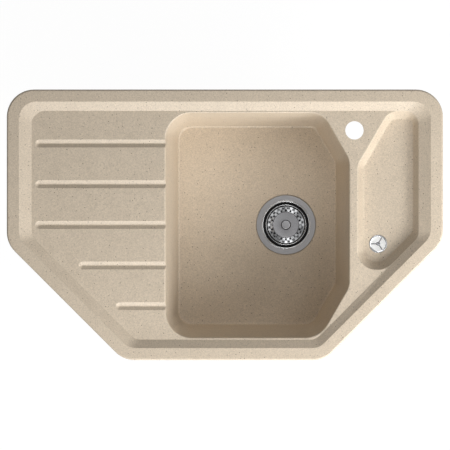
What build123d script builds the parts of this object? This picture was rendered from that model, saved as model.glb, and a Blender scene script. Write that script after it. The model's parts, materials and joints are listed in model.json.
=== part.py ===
from build123d import *
import os
from math import atan2, cos, degrees, hypot, radians, sin

# Corner kitchen sink in granite composite: a drainer, one bowl and a side trough in a raised frame,
# with its basket strainer, overflow and worktop clips.
# The origin is at the middle of the plan, on the worktop (the underside of the rim). +Z is up and +Y
# is the back edge, where the tap stands. Millimetres.

# ---------------------------------------------------------------- driving dimensions: plan
LENGTH = 830.0
WIDTH = 515.0
LEFT_CUT = 222.0
RIGHT_CUT = 226.0
CORNER_RADIUS = 52.0

RIM_WIDTH = 23.0
RIM_INNER_RADIUS = 33.0
SLOPE_RIGHT, SLOPE_BACK, SLOPE_LEFT = 23.5, 17.5, 24.0
SLOPE_LEFT_CUT, SLOPE_FRONT, SLOPE_RIGHT_CUT = 20.0, 16.0, 16.0
DECK_RADIUS = 26.0

# the trough fills the right-hand end, the bowl lies beside it and the drainer takes the rest
TROUGH_WIDTH = 116.2
TROUGH_BEFORE_CUT = 62.5
TROUGH_BEVEL_ANGLE = 150.0
TROUGH_BEVEL_CUT = 52.0
TROUGH_RADIUS = 35.0
TROUGH_WALL_LEFT, TROUGH_WALL_BEVEL, TROUGH_WALL_BACK = 12.2, 11.6, 15.0
TROUGH_WALL_RIGHT, TROUGH_WALL_CUT, TROUGH_WALL_FRONT = 10.0, 13.7, 15.0
TROUGH_FLOOR_RADIUS = 20.0
TROUGH_CORNER_FLOOR_RADIUS = 11.0

BOWL_LENGTH = 349.7
BOWL_RIGHT_LAND, BOWL_BACK_LAND, BOWL_FRONT_LAND = 15.6, 4.0, 3.9
BOWL_BEVEL_ANGLE = 30.0
BOWL_BACK_BEVEL_CUT = 44.1
BOWL_FRONT_BEVEL_CUT = 48.8
BOWL_CORNER_RADIUS = 50.0
BOWL_BEVEL_RADIUS = 40.0

DRAIN_FROM_RIGHT, DRAIN_FROM_BACK = 119.3, 213.0
OVERFLOW_FROM_LEFT, OVERFLOW_FROM_FRONT = 39.7, 49.2
TAP_FROM_RIGHT, TAP_FROM_BACK = 121.9, 37.1

# ---------------------------------------------------------------- driving dimensions: body
RIM_HEIGHT = 9.0
RIM_EDGE_ROUND = 3.5
WORKTOP_OVERLAP = 14.0
DECK_DROP = 10.0
DECK_THICKNESS = 9.0
WALL = 9.0
BOWL_DEPTH = 191.5
BOWL_DRAFT = 23.0
BOWL_FLOOR_THICKNESS = 11.5
BOWL_FLOOR_ROUND = 5.0
BOWL_EDGE_ROUND = 3.0
RIM_INNER_ROUND = 2.0
TROUGH_EDGE_ROUND = 2.0
FLOOR_FALL = 1.5
FLOOR_FALL_RADIUS = 90.0
TROUGH_DEPTH = 22.0
TROUGH_FLOOR_THICKNESS = 8.0
TROUGH_FLOOR_ROUND = 3.0

GROOVE_PITCH = 77.4
GROOVE_WIDTH = 15.0
GROOVE_DEPTH = 3.4
GROOVE_BOTTOM = 1.6
GROOVE_INSETS = (7.0, 7.0, 7.0, 34.1, 26.9)

TAP_HOLE_DIAMETER = 35.0
SEAL_INSET, SEAL_WIDTH, SEAL_DEPTH = 4.0, 6.0, 1.5
BOND_GAP = 0.1
RUNNING_GAP = 0.3
SEAL_MARGIN = 1.0
SCREW_END_GAP = 1.0
SELECT_PLAY = 0.1

# ---------------------------------------------------------------- driving dimensions: strainer
DRAIN_HOLE_DIAMETER = 90.0
FLANGE_OVERLAP = 11.7
FLANGE_THICKNESS = 1.5
FLANGE_ROUND = 1.2
FLANGE_SEAL_THICKNESS = 1.5
FLANGE_BELOW_FLOOR = 0.5
DRAIN_RECESS_GAP = 1.5
CUP_WALL = 1.0
NECK_LENGTH = 12.0
SEAT_LENGTH = 6.0
CUP_STEP = 5.2
CUP_DEPTH = 49.5
CUP_HUB_RADIUS = 9.0
CUP_SLOT_COUNT = 6
CUP_SPOKE = 6.0
BODY_SEAL_THICKNESS = 2.5
BODY_FLANGE_OVERLAP = 11.0
BODY_FLANGE_THICKNESS = 5.0
BODY_WALL = 3.0
BODY_BORE_STEP = 1.0
BODY_DEPTH = 46.0
BODY_CONE = 12.0
OUTLET_RADIUS = 23.9
OUTLET_BORE = 20.0
OUTLET_LENGTH = 34.0
BRANCH_BELOW_BODY = 24.0
BRANCH_LENGTH = 24.0
WEB_COUNT = 3
WEB_THICKNESS = 3.0
WEB_HEIGHT = 12.0
INSERT_BOSS_RADIUS = 8.5
INSERT_BOSS_GAP = 2.0
INSERT_RADIUS = 5.5
INSERT_LENGTH = 16.0
CENTRE_SCREW_RADIUS = 3.0
SCREW_HEAD_RADIUS = 6.5
SCREW_HEAD_HEIGHT = 3.5
SCREW_SLOT_WIDTH, SCREW_SLOT_DEPTH = 1.6, 1.5

BASKET_BELOW_FLOOR = 6.0
BASKET_NECK_GAP = 4.7
BASKET_LIP_WIDTH = 2.3
BASKET_LIP_HEIGHT = 1.8
BASKET_LIP_ROUND = 0.8
BASKET_DEPTH = 32.0
BASKET_WALL = 0.9
BASKET_FLOOR_RADIUS = 23.6
BASKET_SHOULDER_STEP, BASKET_SHOULDER_DROP = 1.7, 11.5
BASKET_HOLE_COUNT = 20
BASKET_SLOT_WIDTH, BASKET_SLOT_HEIGHT, BASKET_SLOT_DROP = 4.8, 6.5, 16.2
BASKET_HOLE_DIAMETER, BASKET_HOLE_DROP = 3.2, 29.4
SEAL_TOP_DROP, SEAL_BOTTOM_DROP = 2.5, 11.0
SEAL_NECK_GAP = 0.6
SEAL_LIP_ROUND = 1.2
KNOB_RADIUS = 8.2
KNOB_HEIGHT = 6.0
KNOB_ROUND = 1.5
KNOB_STEM_RADIUS = 3.5
KNOB_STEM_HEIGHT = 18.0
KNOB_TAIL_RADIUS = 2.5
KNOB_TAIL_END = 1.0
KNOB_NUT_ACROSS_FLATS = 8.0
KNOB_NUT_HEIGHT = 3.0

# ---------------------------------------------------------------- driving dimensions: overflow
GRILLE_DIAMETER = 35.0
GRILLE_THICKNESS = 2.0
GRILLE_ROUND = 0.8
GRILLE_PROUD = 0.5
GRILLE_OPENING_RADIUS = 13.8
GRILLE_SPIGOT_RADIUS = 15.2
GRILLE_SPIGOT_LENGTH = 5.0
GRILLE_HUB_RADIUS = 4.5
GRILLE_SPOKE = 2.6
GRILLE_SPOKE_THICKNESS = 1.5
GRILLE_SPOKE_ANGLES = (180.0, 60.0, -55.0)
OVERFLOW_SCREW_RADIUS = 2.0
OVERFLOW_SCREW_HEAD, OVERFLOW_SCREW_HEAD_HEIGHT = 3.4, 1.6
OVERFLOW_SEAL_THICKNESS = 2.0
HEAD_RADIUS = 28.0
HEAD_WALL = 3.0
HEAD_FLOOR_DROP = 8.0
HEAD_PORT_RADIUS, HEAD_PORT_OFFSET = 5.0, 19.0
HEAD_BOSS_RADIUS = 5.0
HEAD_BOSS_HEIGHT = 5.0
HEAD_INSERT_RADIUS = 3.2
HEAD_INSERT_LENGTH = 10.0
SOCKET_RADIUS = 14.0
SOCKET_DROP = 20.0
SOCKET_START, SOCKET_LENGTH = 7.0, 38.5
PIPE_RADIUS = 11.0
PIPE_WALL = 1.8
PIPE_BEND = 20.0
PIPE_RUN = 66.0
PIPE_IN_SOCKET = 12.0
NUT_RADIUS = 18.0
NUT_GRIP = 9.0
NUT_LIP = 2.5
NUT_RIBS = 12
NUT_RIB_RADIUS = 1.5
CONE_LENGTH = 4.5
CONE_TAPER = 20.0

# ---------------------------------------------------------------- driving dimensions: clips
CLIP_INSET = 25.0
BACK_CLIP_SPACING = 340.0
BOSS_RADIUS = 8.0
BOSS_BOTTOM = 24.0
CLIP_INSERT_RADIUS = 4.5
CLIP_INSERT_LENGTH = 13.0
CLIP_SCREW_RADIUS = 3.0
CLIP_HEAD_ACROSS_FLATS = 10.0
CLIP_HEAD_HEIGHT = 4.0
CLIP_WASHER_RADIUS, CLIP_WASHER_THICKNESS = 7.0, 1.2
WORKTOP_THICKNESS = 38.0
ARM_REACH = 46.0
ARM_WIDTH = 12.0
ARM_THICKNESS = 2.5
ARM_BEND = 3.0
ARM_TIP_HEIGHT = 6.0
ARM_HEEL = 7.0

# ---------------------------------------------------------------- levels worked out from the sizes
DECK_Z = RIM_HEIGHT - DECK_DROP
DECK_BOTTOM_Z = DECK_Z - DECK_THICKNESS
FLOOR_Z = RIM_HEIGHT - BOWL_DEPTH
DRAIN_Z = FLOOR_Z - FLOOR_FALL
BOWL_BOTTOM_Z = FLOOR_Z - BOWL_FLOOR_THICKNESS
TROUGH_Z = DECK_Z - TROUGH_DEPTH
TROUGH_BOTTOM_Z = TROUGH_Z - TROUGH_FLOOR_THICKNESS

FLANGE_TOP_Z = DRAIN_Z - FLANGE_BELOW_FLOOR
FLANGE_BOTTOM_Z = FLANGE_TOP_Z - FLANGE_THICKNESS
RECESS_Z = FLANGE_BOTTOM_Z - FLANGE_SEAL_THICKNESS
FLANGE_RADIUS = DRAIN_HOLE_DIAMETER / 2 + FLANGE_OVERLAP
NECK_RADIUS = DRAIN_HOLE_DIAMETER / 2 - RUNNING_GAP
NECK_INNER = NECK_RADIUS - CUP_WALL
CUP_RADIUS = NECK_RADIUS - CUP_STEP
BASKET_LIP_RADIUS = NECK_INNER - BASKET_NECK_GAP
BASKET_SHOULDER_RADIUS = BASKET_LIP_RADIUS - BASKET_LIP_WIDTH - BASKET_SHOULDER_STEP
BODY_BORE = DRAIN_HOLE_DIAMETER / 2 + BODY_BORE_STEP
BODY_FLANGE_RADIUS = DRAIN_HOLE_DIAMETER / 2 + BODY_FLANGE_OVERLAP
NECK_Z = FLANGE_BOTTOM_Z - NECK_LENGTH
SEAT_Z = NECK_Z - SEAT_LENGTH
CUP_INNER = CUP_RADIUS - CUP_WALL
CUP_FLOOR_Z = FLANGE_TOP_Z - CUP_DEPTH
CUP_BOTTOM_Z = CUP_FLOOR_Z - CUP_WALL

BODY_TOP_Z = BOWL_BOTTOM_Z - BODY_SEAL_THICKNESS
BODY_FLOOR_Z = BODY_TOP_Z - BODY_DEPTH
OUTLET_TOP_Z = BODY_FLOOR_Z - BODY_CONE
OUTLET_END_Z = OUTLET_TOP_Z - OUTLET_LENGTH
BRANCH_Z = BODY_TOP_Z - BRANCH_BELOW_BODY
INSERT_TOP_Z = CUP_BOTTOM_Z - INSERT_BOSS_GAP
WEB_BOTTOM_Z = OUTLET_TOP_Z - WEB_HEIGHT
HEAD_TOP_Z = TROUGH_BOTTOM_Z - OVERFLOW_SEAL_THICKNESS
HEAD_FLOOR_Z = HEAD_TOP_Z - HEAD_FLOOR_DROP
SOCKET_Z = HEAD_TOP_Z - SOCKET_DROP

BASKET_TOP_Z = DRAIN_Z - BASKET_BELOW_FLOOR
BASKET_FLOOR_Z = BASKET_TOP_Z - BASKET_DEPTH

ARM_TOP_Z = -WORKTOP_THICKNESS - ARM_TIP_HEIGHT - RUNNING_GAP
ARM_BOTTOM_Z = ARM_TOP_Z - ARM_THICKNESS
CLIP_HEAD_TOP_Z = ARM_BOTTOM_Z - RUNNING_GAP - CLIP_WASHER_THICKNESS


# ---------------------------------------------------------------- outlines
# An outline is a list of sides. Each side is (angle of its outward normal, distance from the origin,
# radius of the corner after it), going round from the right-hand side to the back.
RIGHT, BACK, LEFT, FRONT = 0.0, 90.0, 180.0, 270.0
CUT_LEFT, CUT_RIGHT = 225.0, 315.0


def cut_distance(leg):
    """Distance from the origin of a 45 degree cut with this leg across a front corner."""
    return (LENGTH / 2 + WIDTH / 2 - leg) * cos(radians(45))


def frame_sides(insets, radius):
    """The sink's outer shape, each side moved inwards by its own inset."""
    distances = (
        LENGTH / 2,
        WIDTH / 2,
        LENGTH / 2,
        cut_distance(LEFT_CUT),
        WIDTH / 2,
        cut_distance(RIGHT_CUT),
    )
    angles = (RIGHT, BACK, LEFT, CUT_LEFT, FRONT, CUT_RIGHT)
    return [(a, d - inset, radius) for a, d, inset in zip(angles, distances, insets)]


def grown(sides, step):
    """The same outline moved outwards by step, with its corners still concentric."""
    return [(angle, distance + step, radius + step) for angle, distance, radius in sides]


def crossing(first, second):
    """The point where two sides meet."""
    a, b = radians(first[0]), radians(second[0])
    turn = sin(b - a)
    x = (first[1] * sin(b) - second[1] * sin(a)) / turn
    y = (second[1] * cos(a) - first[1] * cos(b)) / turn
    return x, y


def bevel(angle, corner, cut):
    """Distance from the origin of a side with this angle that cuts this much off a corner."""
    return corner[0] * cos(radians(angle)) + corner[1] * sin(radians(angle)) - cut


def corners(sides):
    """The sharp corner after each side."""
    return [crossing(side, sides[(i + 1) % len(sides)]) for i, side in enumerate(sides)]


def outline(sides, height):
    """A face with these sides and rounded corners, at this height."""
    with BuildSketch(Plane.XY.offset(height)) as face:
        with BuildLine():
            FilletPolyline(*corners(sides), radius=[side[2] for side in sides], close=True)
        make_face()
    return face.sketch


def prism(sides, bottom, top, mode=Mode.ADD):
    """A straight-sided block with this outline."""
    extrude(outline(sides, bottom), amount=top - bottom, mode=mode)


def tapered(bottom_sides, bottom, top_sides, top, mode=Mode.ADD):
    """A block that changes from one outline to another with as many sides."""
    loft([outline(bottom_sides, bottom), outline(top_sides, top)], ruled=True, mode=mode)


def turned(points, centre, mode=Mode.ADD):
    """A ring or disc: a closed (radius, height) outline turned about the upright axis at centre."""
    with BuildSketch(Plane(origin=(*centre, 0), x_dir=(1, 0, 0), z_dir=(0, -1, 0))) as section:
        with BuildLine():
            Polyline(*points, close=True)
        make_face()
    revolve(section.sketch, axis=Axis((*centre, 0), (0, 0, 1)), mode=mode)


def disc(centre, radius, bottom, top, mode=Mode.ADD):
    """An upright cylinder between two heights."""
    with Locations((*centre, bottom)):
        Cylinder(radius, top - bottom, align=(Align.CENTER, Align.CENTER, Align.MIN), mode=mode)


def ring(centre, inner, outer, bottom, top):
    """A flat ring between two heights."""
    disc(centre, outer, bottom, top)
    disc(centre, inner, bottom, top, mode=Mode.SUBTRACT)


def finish(builder, name):
    """Label a finished piece and write it."""
    builder.part.label = name
    export_step(builder.part, f"parts/{name}.step")


os.makedirs("parts", exist_ok=True)

SLOPES = (SLOPE_RIGHT, SLOPE_BACK, SLOPE_LEFT, SLOPE_LEFT_CUT, SLOPE_FRONT, SLOPE_RIGHT_CUT)
OUTER = frame_sides([0.0] * len(SLOPES), CORNER_RADIUS)
CUTOUT = grown(OUTER, -WORKTOP_OVERLAP)
RIM_INNER = frame_sides([RIM_WIDTH] * len(SLOPES), RIM_INNER_RADIUS)
DECK = frame_sides([RIM_WIDTH + slope for slope in SLOPES], DECK_RADIUS)
UNDER_DECK = grown(DECK, WALL)

deck_right, deck_back, deck_left, deck_cut_left, deck_front, deck_cut_right = [side[1] for side in DECK]
TROUGH_LEFT = deck_right - TROUGH_WIDTH
TROUGH_FRONT = crossing(DECK[5], DECK[0])[1] - TROUGH_BEFORE_CUT
TROUGH_BEVEL = bevel(TROUGH_BEVEL_ANGLE, (TROUGH_LEFT, deck_back), TROUGH_BEVEL_CUT)
BOWL_RIGHT = TROUGH_LEFT - BOWL_RIGHT_LAND
BOWL_LEFT = BOWL_RIGHT - BOWL_LENGTH
BOWL_BACK = deck_back - BOWL_BACK_LAND
BOWL_FRONT = BOWL_FRONT_LAND - deck_front
DRAIN = (BOWL_RIGHT - DRAIN_FROM_RIGHT, BOWL_BACK - DRAIN_FROM_BACK)
OVERFLOW = (TROUGH_LEFT + OVERFLOW_FROM_LEFT, TROUGH_FRONT + OVERFLOW_FROM_FRONT)
TAP = (deck_right - TAP_FROM_RIGHT, deck_back - TAP_FROM_BACK)
PIPE_ANGLE = degrees(atan2(OVERFLOW[1] - DRAIN[1], OVERFLOW[0] - DRAIN[0]))
PIPE_SPAN = hypot(OVERFLOW[1] - DRAIN[1], OVERFLOW[0] - DRAIN[0])

back_bevel = bevel(BOWL_BEVEL_ANGLE, (BOWL_RIGHT, BOWL_BACK), BOWL_BACK_BEVEL_CUT)
front_bevel = bevel(-BOWL_BEVEL_ANGLE, (BOWL_RIGHT, BOWL_FRONT), BOWL_FRONT_BEVEL_CUT)
BOWL = [
    (RIGHT, BOWL_RIGHT, BOWL_BEVEL_RADIUS),
    (BOWL_BEVEL_ANGLE, back_bevel, BOWL_BEVEL_RADIUS),
    (BACK, BOWL_BACK, BOWL_CORNER_RADIUS),
    (LEFT, -BOWL_LEFT, BOWL_CORNER_RADIUS),
    (FRONT, -BOWL_FRONT, BOWL_CORNER_RADIUS),
    (-BOWL_BEVEL_ANGLE, front_bevel, BOWL_BEVEL_RADIUS),
]
BOWL_FLOOR = grown(BOWL, -BOWL_DRAFT)

TROUGH = [
    (RIGHT, deck_right, DECK_RADIUS),
    (BACK, deck_back, TROUGH_RADIUS),
    (TROUGH_BEVEL_ANGLE, TROUGH_BEVEL, TROUGH_RADIUS),
    (LEFT, -TROUGH_LEFT, TROUGH_RADIUS),
    (FRONT, -TROUGH_FRONT, TROUGH_RADIUS),
    (CUT_RIGHT, deck_cut_right, DECK_RADIUS),
]
TROUGH_FLOOR = [
    (RIGHT, deck_right - TROUGH_WALL_RIGHT, TROUGH_CORNER_FLOOR_RADIUS),
    (BACK, deck_back - TROUGH_WALL_BACK, TROUGH_FLOOR_RADIUS),
    (TROUGH_BEVEL_ANGLE, TROUGH_BEVEL - TROUGH_WALL_BEVEL, TROUGH_FLOOR_RADIUS),
    (LEFT, -TROUGH_LEFT - TROUGH_WALL_LEFT, TROUGH_FLOOR_RADIUS),
    (FRONT, -TROUGH_FRONT - TROUGH_WALL_FRONT, TROUGH_FLOOR_RADIUS),
    (CUT_RIGHT, deck_cut_right - TROUGH_WALL_CUT, TROUGH_FLOOR_RADIUS),
]


# ---------------------------------------------------------------- clip places
def clip_places():
    """(x, y, outward angle) of each clip: one at the middle of each side and two along the back."""
    places = []
    points = corners(OUTER)
    for i, (angle, distance, _) in enumerate(OUTER):
        ends = points[i - 1], points[i]
        middle = [(a + b) / 2 for a, b in zip(*ends)]
        shifts = (-BACK_CLIP_SPACING / 2, BACK_CLIP_SPACING / 2) if angle == BACK else (0.0,)
        for shift in shifts:
            out_x, out_y = cos(radians(angle)), sin(radians(angle))
            x = middle[0] - CLIP_INSET * out_x - shift * out_y
            y = middle[1] - CLIP_INSET * out_y + shift * out_x
            places.append((x, y, angle))
    return places


CLIPS = clip_places()

# ---------------------------------------------------------------- sink body
with BuildPart() as bowl_hollow:
    tapered(BOWL_FLOOR, FLOOR_Z, BOWL, DECK_Z)
    fillet(bowl_hollow.edges().group_by(Axis.Z)[0], BOWL_FLOOR_ROUND)

with BuildPart() as bowl_shell:
    draft_below = BOWL_DRAFT * BOWL_FLOOR_THICKNESS / (DECK_Z - FLOOR_Z)
    tapered(grown(BOWL_FLOOR, WALL - draft_below), BOWL_BOTTOM_Z, grown(BOWL, WALL), DECK_Z)
    fillet(bowl_shell.edges().group_by(Axis.Z)[0], BOWL_FLOOR_ROUND + WALL - draft_below)

with BuildPart() as trough_hollow:
    tapered(TROUGH_FLOOR, TROUGH_Z, TROUGH, DECK_Z)
    fillet(trough_hollow.edges().group_by(Axis.Z)[0], TROUGH_FLOOR_ROUND)

with BuildPart() as sink_body:
    prism(OUTER, 0.0, RIM_HEIGHT)
    fillet(sink_body.edges().group_by(Axis.Z)[-1], RIM_EDGE_ROUND)
    tapered(UNDER_DECK, DECK_BOTTOM_Z, CUTOUT, 0.0)
    add(bowl_shell.part)
    tapered(grown(TROUGH_FLOOR, WALL), TROUGH_BOTTOM_Z, grown(TROUGH, WALL), DECK_Z)
    for x, y, _ in CLIPS:
        disc((x, y), BOSS_RADIUS, -BOSS_BOTTOM, DECK_Z)
    tapered(DECK, DECK_Z, RIM_INNER, RIM_HEIGHT, mode=Mode.SUBTRACT)
    rim_top = sink_body.faces().filter_by(GeomType.PLANE).sort_by(Axis.Z)[-1]
    fillet(rim_top.inner_wires()[0].edges(), RIM_INNER_ROUND)
    add(bowl_hollow.part, mode=Mode.SUBTRACT)
    mouth = (
        sink_body.edges()
        .filter_by_position(Axis.Z, DECK_Z - SELECT_PLAY, DECK_Z + SELECT_PLAY)
        .filter_by_position(Axis.X, BOWL_LEFT - SELECT_PLAY, BOWL_RIGHT + SELECT_PLAY)
        .filter_by_position(Axis.Y, BOWL_FRONT - SELECT_PLAY, BOWL_BACK + SELECT_PLAY)
    )
    fillet(mouth, BOWL_EDGE_ROUND)
    add(trough_hollow.part, mode=Mode.SUBTRACT)
    trough_mouth = (
        sink_body.edges()
        .filter_by_position(Axis.Z, DECK_Z - SELECT_PLAY, DECK_Z + SELECT_PLAY)
        .filter_by_position(Axis.X, TROUGH_LEFT - SELECT_PLAY, deck_right + SELECT_PLAY)
    )
    fillet(trough_mouth, TROUGH_EDGE_ROUND)
    # the floor falls to the drain in a shallow cone
    turned(
        [(0, DRAIN_Z), (FLANGE_RADIUS + DRAIN_RECESS_GAP, DRAIN_Z), (FLOOR_FALL_RADIUS, FLOOR_Z),
         (FLOOR_FALL_RADIUS, FLOOR_Z + FLOOR_FALL), (0, FLOOR_Z + FLOOR_FALL)],
        DRAIN,
        mode=Mode.SUBTRACT,
    )
    disc(DRAIN, FLANGE_RADIUS + DRAIN_RECESS_GAP, RECESS_Z, FLOOR_Z, mode=Mode.SUBTRACT)
    disc(DRAIN, DRAIN_HOLE_DIAMETER / 2, BOWL_BOTTOM_Z, FLOOR_Z, mode=Mode.SUBTRACT)
    # drainer grooves: a V with a narrow flat bottom, cone-ended at the left, open into the bowl
    for row, inset in enumerate(GROOVE_INSETS):
        groove_y = (len(GROOVE_INSETS) - 1) / 2 * GROOVE_PITCH - row * GROOVE_PITCH
        cut_x = crossing((FRONT, -groove_y), DECK[3])[0]
        start = max(-deck_left, cut_x) + inset
        with BuildSketch(Plane(origin=(start + GROOVE_WIDTH / 2, groove_y, DECK_Z), x_dir=(0, 1, 0),
                               z_dir=(1, 0, 0))) as groove:
            with BuildLine():
                Polyline((-GROOVE_WIDTH / 2, 0), (-GROOVE_BOTTOM / 2, -GROOVE_DEPTH),
                         (GROOVE_BOTTOM / 2, -GROOVE_DEPTH), (GROOVE_WIDTH / 2, 0), close=True)
            make_face()
        extrude(groove.sketch, amount=BOWL_LEFT + BOWL_EDGE_ROUND - start, mode=Mode.SUBTRACT)
        turned(
            [(0, DECK_Z), (0, DECK_Z - GROOVE_DEPTH), (GROOVE_BOTTOM / 2, DECK_Z - GROOVE_DEPTH),
             (GROOVE_WIDTH / 2, DECK_Z)],
            (start + GROOVE_WIDTH / 2, groove_y),
            mode=Mode.SUBTRACT,
        )
    disc(TAP, TAP_HOLE_DIAMETER / 2, DECK_BOTTOM_Z, DECK_Z, mode=Mode.SUBTRACT)
    # seat and hole for the overflow grille
    disc(OVERFLOW, GRILLE_DIAMETER / 2 + RUNNING_GAP, TROUGH_Z + GRILLE_PROUD - GRILLE_THICKNESS, TROUGH_Z,
         mode=Mode.SUBTRACT)
    disc(OVERFLOW, GRILLE_SPIGOT_RADIUS + RUNNING_GAP, TROUGH_BOTTOM_Z, TROUGH_Z, mode=Mode.SUBTRACT)
    for x, y, _ in CLIPS:
        disc((x, y), CLIP_INSERT_RADIUS + BOND_GAP, -BOSS_BOTTOM, CLIP_INSERT_LENGTH - BOSS_BOTTOM,
             mode=Mode.SUBTRACT)
    # groove for the sealing strip
    with BuildPart(mode=Mode.PRIVATE) as seal_groove:
        prism(grown(OUTER, -SEAL_INSET), 0.0, SEAL_DEPTH)
        prism(grown(OUTER, -SEAL_INSET - SEAL_WIDTH), 0.0, SEAL_DEPTH, mode=Mode.SUBTRACT)
    add(seal_groove.part, mode=Mode.SUBTRACT)
finish(sink_body, "sink_body")

with BuildPart() as rim_seal:
    prism(grown(OUTER, -SEAL_INSET - BOND_GAP), 0.0, SEAL_DEPTH)
    prism(grown(OUTER, BOND_GAP - SEAL_INSET - SEAL_WIDTH), 0.0, SEAL_DEPTH, mode=Mode.SUBTRACT)
finish(rim_seal, "rim_seal")

# ---------------------------------------------------------------- basket strainer
with BuildPart() as strainer_flange:
    turned(
        [(0, CUP_BOTTOM_Z), (CUP_RADIUS, CUP_BOTTOM_Z), (CUP_RADIUS, SEAT_Z), (NECK_RADIUS, NECK_Z),
         (NECK_RADIUS, FLANGE_BOTTOM_Z), (FLANGE_RADIUS, FLANGE_BOTTOM_Z),
         (FLANGE_RADIUS, FLANGE_TOP_Z), (NECK_INNER, FLANGE_TOP_Z), (NECK_INNER, NECK_Z),
         (CUP_INNER, SEAT_Z), (CUP_INNER, CUP_FLOOR_Z), (0, CUP_FLOOR_Z)],
        DRAIN,
    )
    flange_top = strainer_flange.faces().filter_by(GeomType.PLANE).sort_by(Axis.Z)[-1]
    fillet(flange_top.edges(), FLANGE_ROUND)
    with BuildSketch(Plane.XY.offset(CUP_BOTTOM_Z)) as cup_slots:
        with Locations(DRAIN):
            Circle(CUP_INNER - CUP_SPOKE)
            Circle(CUP_HUB_RADIUS, mode=Mode.SUBTRACT)
            with PolarLocations(0, CUP_SLOT_COUNT):
                Rectangle(CUP_RADIUS, CUP_SPOKE, align=(Align.MIN, Align.CENTER), mode=Mode.SUBTRACT)
    extrude(cup_slots.sketch, amount=CUP_WALL, mode=Mode.SUBTRACT)
    disc(DRAIN, CENTRE_SCREW_RADIUS + RUNNING_GAP, CUP_BOTTOM_Z, CUP_FLOOR_Z, mode=Mode.SUBTRACT)
finish(strainer_flange, "strainer_flange")

with BuildPart() as flange_seal:
    ring(DRAIN, DRAIN_HOLE_DIAMETER / 2 + SEAL_MARGIN, FLANGE_RADIUS - SEAL_MARGIN, RECESS_Z,
         FLANGE_BOTTOM_Z)
finish(flange_seal, "flange_seal")


def basket_radius(height):
    """Radius of the basket's wall on its inside: steep down to the shoulder, then a cone to the floor."""
    shoulder_z = BASKET_TOP_Z - BASKET_SHOULDER_DROP
    if height > shoulder_z:
        return BASKET_SHOULDER_RADIUS + (height - shoulder_z) / BASKET_SHOULDER_DROP * BASKET_SHOULDER_STEP
    share = (height - BASKET_FLOOR_Z) / (shoulder_z - BASKET_FLOOR_Z)
    return BASKET_FLOOR_RADIUS + share * (BASKET_SHOULDER_RADIUS - BASKET_FLOOR_RADIUS)


def basket_slots(width, height, drop, phase):
    """A ring of radial slots through the basket's wall."""
    for turn in range(BASKET_HOLE_COUNT):
        angle = 360 / BASKET_HOLE_COUNT * turn + phase
        face = Plane(
            origin=(*DRAIN, BASKET_TOP_Z - drop),
            x_dir=(0, 0, 1),
            z_dir=(cos(radians(angle)), sin(radians(angle)), 0),
        )
        # each slot starts inside the basket, so that it cuts one wall only
        with BuildSketch(face.offset(BASKET_FLOOR_RADIUS / 2)) as slot:
            if height > width:
                SlotOverall(height, width)
            else:
                Circle(width / 2)
        extrude(slot.sketch, amount=BASKET_LIP_RADIUS, mode=Mode.SUBTRACT)


with BuildPart() as strainer_basket:
    lip_bottom_z = BASKET_TOP_Z - BASKET_LIP_HEIGHT
    under_z = BASKET_FLOOR_Z - BASKET_WALL
    shoulder_z = BASKET_TOP_Z - BASKET_SHOULDER_DROP
    turned(
        [(0, under_z), (basket_radius(under_z) + BASKET_WALL, under_z),
         (BASKET_SHOULDER_RADIUS + BASKET_WALL, shoulder_z),
         (basket_radius(lip_bottom_z) + BASKET_WALL, lip_bottom_z), (BASKET_LIP_RADIUS, lip_bottom_z),
         (BASKET_LIP_RADIUS, BASKET_TOP_Z), (basket_radius(BASKET_TOP_Z), BASKET_TOP_Z),
         (BASKET_SHOULDER_RADIUS, shoulder_z), (BASKET_FLOOR_RADIUS, BASKET_FLOOR_Z), (0, BASKET_FLOOR_Z)],
        DRAIN,
    )
    lip_top = strainer_basket.faces().filter_by(GeomType.PLANE).sort_by(Axis.Z)[-1]
    fillet(lip_top.edges(), BASKET_LIP_ROUND)
    basket_slots(BASKET_SLOT_WIDTH, BASKET_SLOT_HEIGHT, BASKET_SLOT_DROP, 180 / BASKET_HOLE_COUNT)
    basket_slots(BASKET_HOLE_DIAMETER, BASKET_HOLE_DIAMETER, BASKET_HOLE_DROP, 0)
    disc(DRAIN, KNOB_TAIL_RADIUS + BOND_GAP, BASKET_FLOOR_Z - BASKET_WALL, BASKET_FLOOR_Z, mode=Mode.SUBTRACT)
finish(strainer_basket, "strainer_basket")

with BuildPart() as basket_seal:
    # the ring hangs from the basket's wall and stops just above the flange's conical seat
    seal_top_z = BASKET_TOP_Z - SEAL_TOP_DROP
    seal_bottom_z = BASKET_TOP_Z - SEAL_BOTTOM_DROP
    seal_radius = NECK_INNER - SEAL_NECK_GAP
    seat_slope = (NECK_INNER - CUP_INNER) / SEAT_LENGTH
    seat_gap = RUNNING_GAP * hypot(1, seat_slope)
    seal_corner_z = NECK_Z - (NECK_INNER - seat_gap - seal_radius) / seat_slope
    seal_foot = seal_radius - (seal_corner_z - seal_bottom_z) * seat_slope
    wall_gap = BASKET_WALL + BOND_GAP
    turned(
        [(basket_radius(seal_bottom_z) + wall_gap, seal_bottom_z), (seal_foot, seal_bottom_z),
         (seal_radius, seal_corner_z), (seal_radius, seal_top_z - SEAL_LIP_ROUND),
         (seal_radius - SEAL_LIP_ROUND, seal_top_z), (basket_radius(seal_top_z) + wall_gap, seal_top_z)],
        DRAIN,
    )
finish(basket_seal, "basket_seal")

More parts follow.
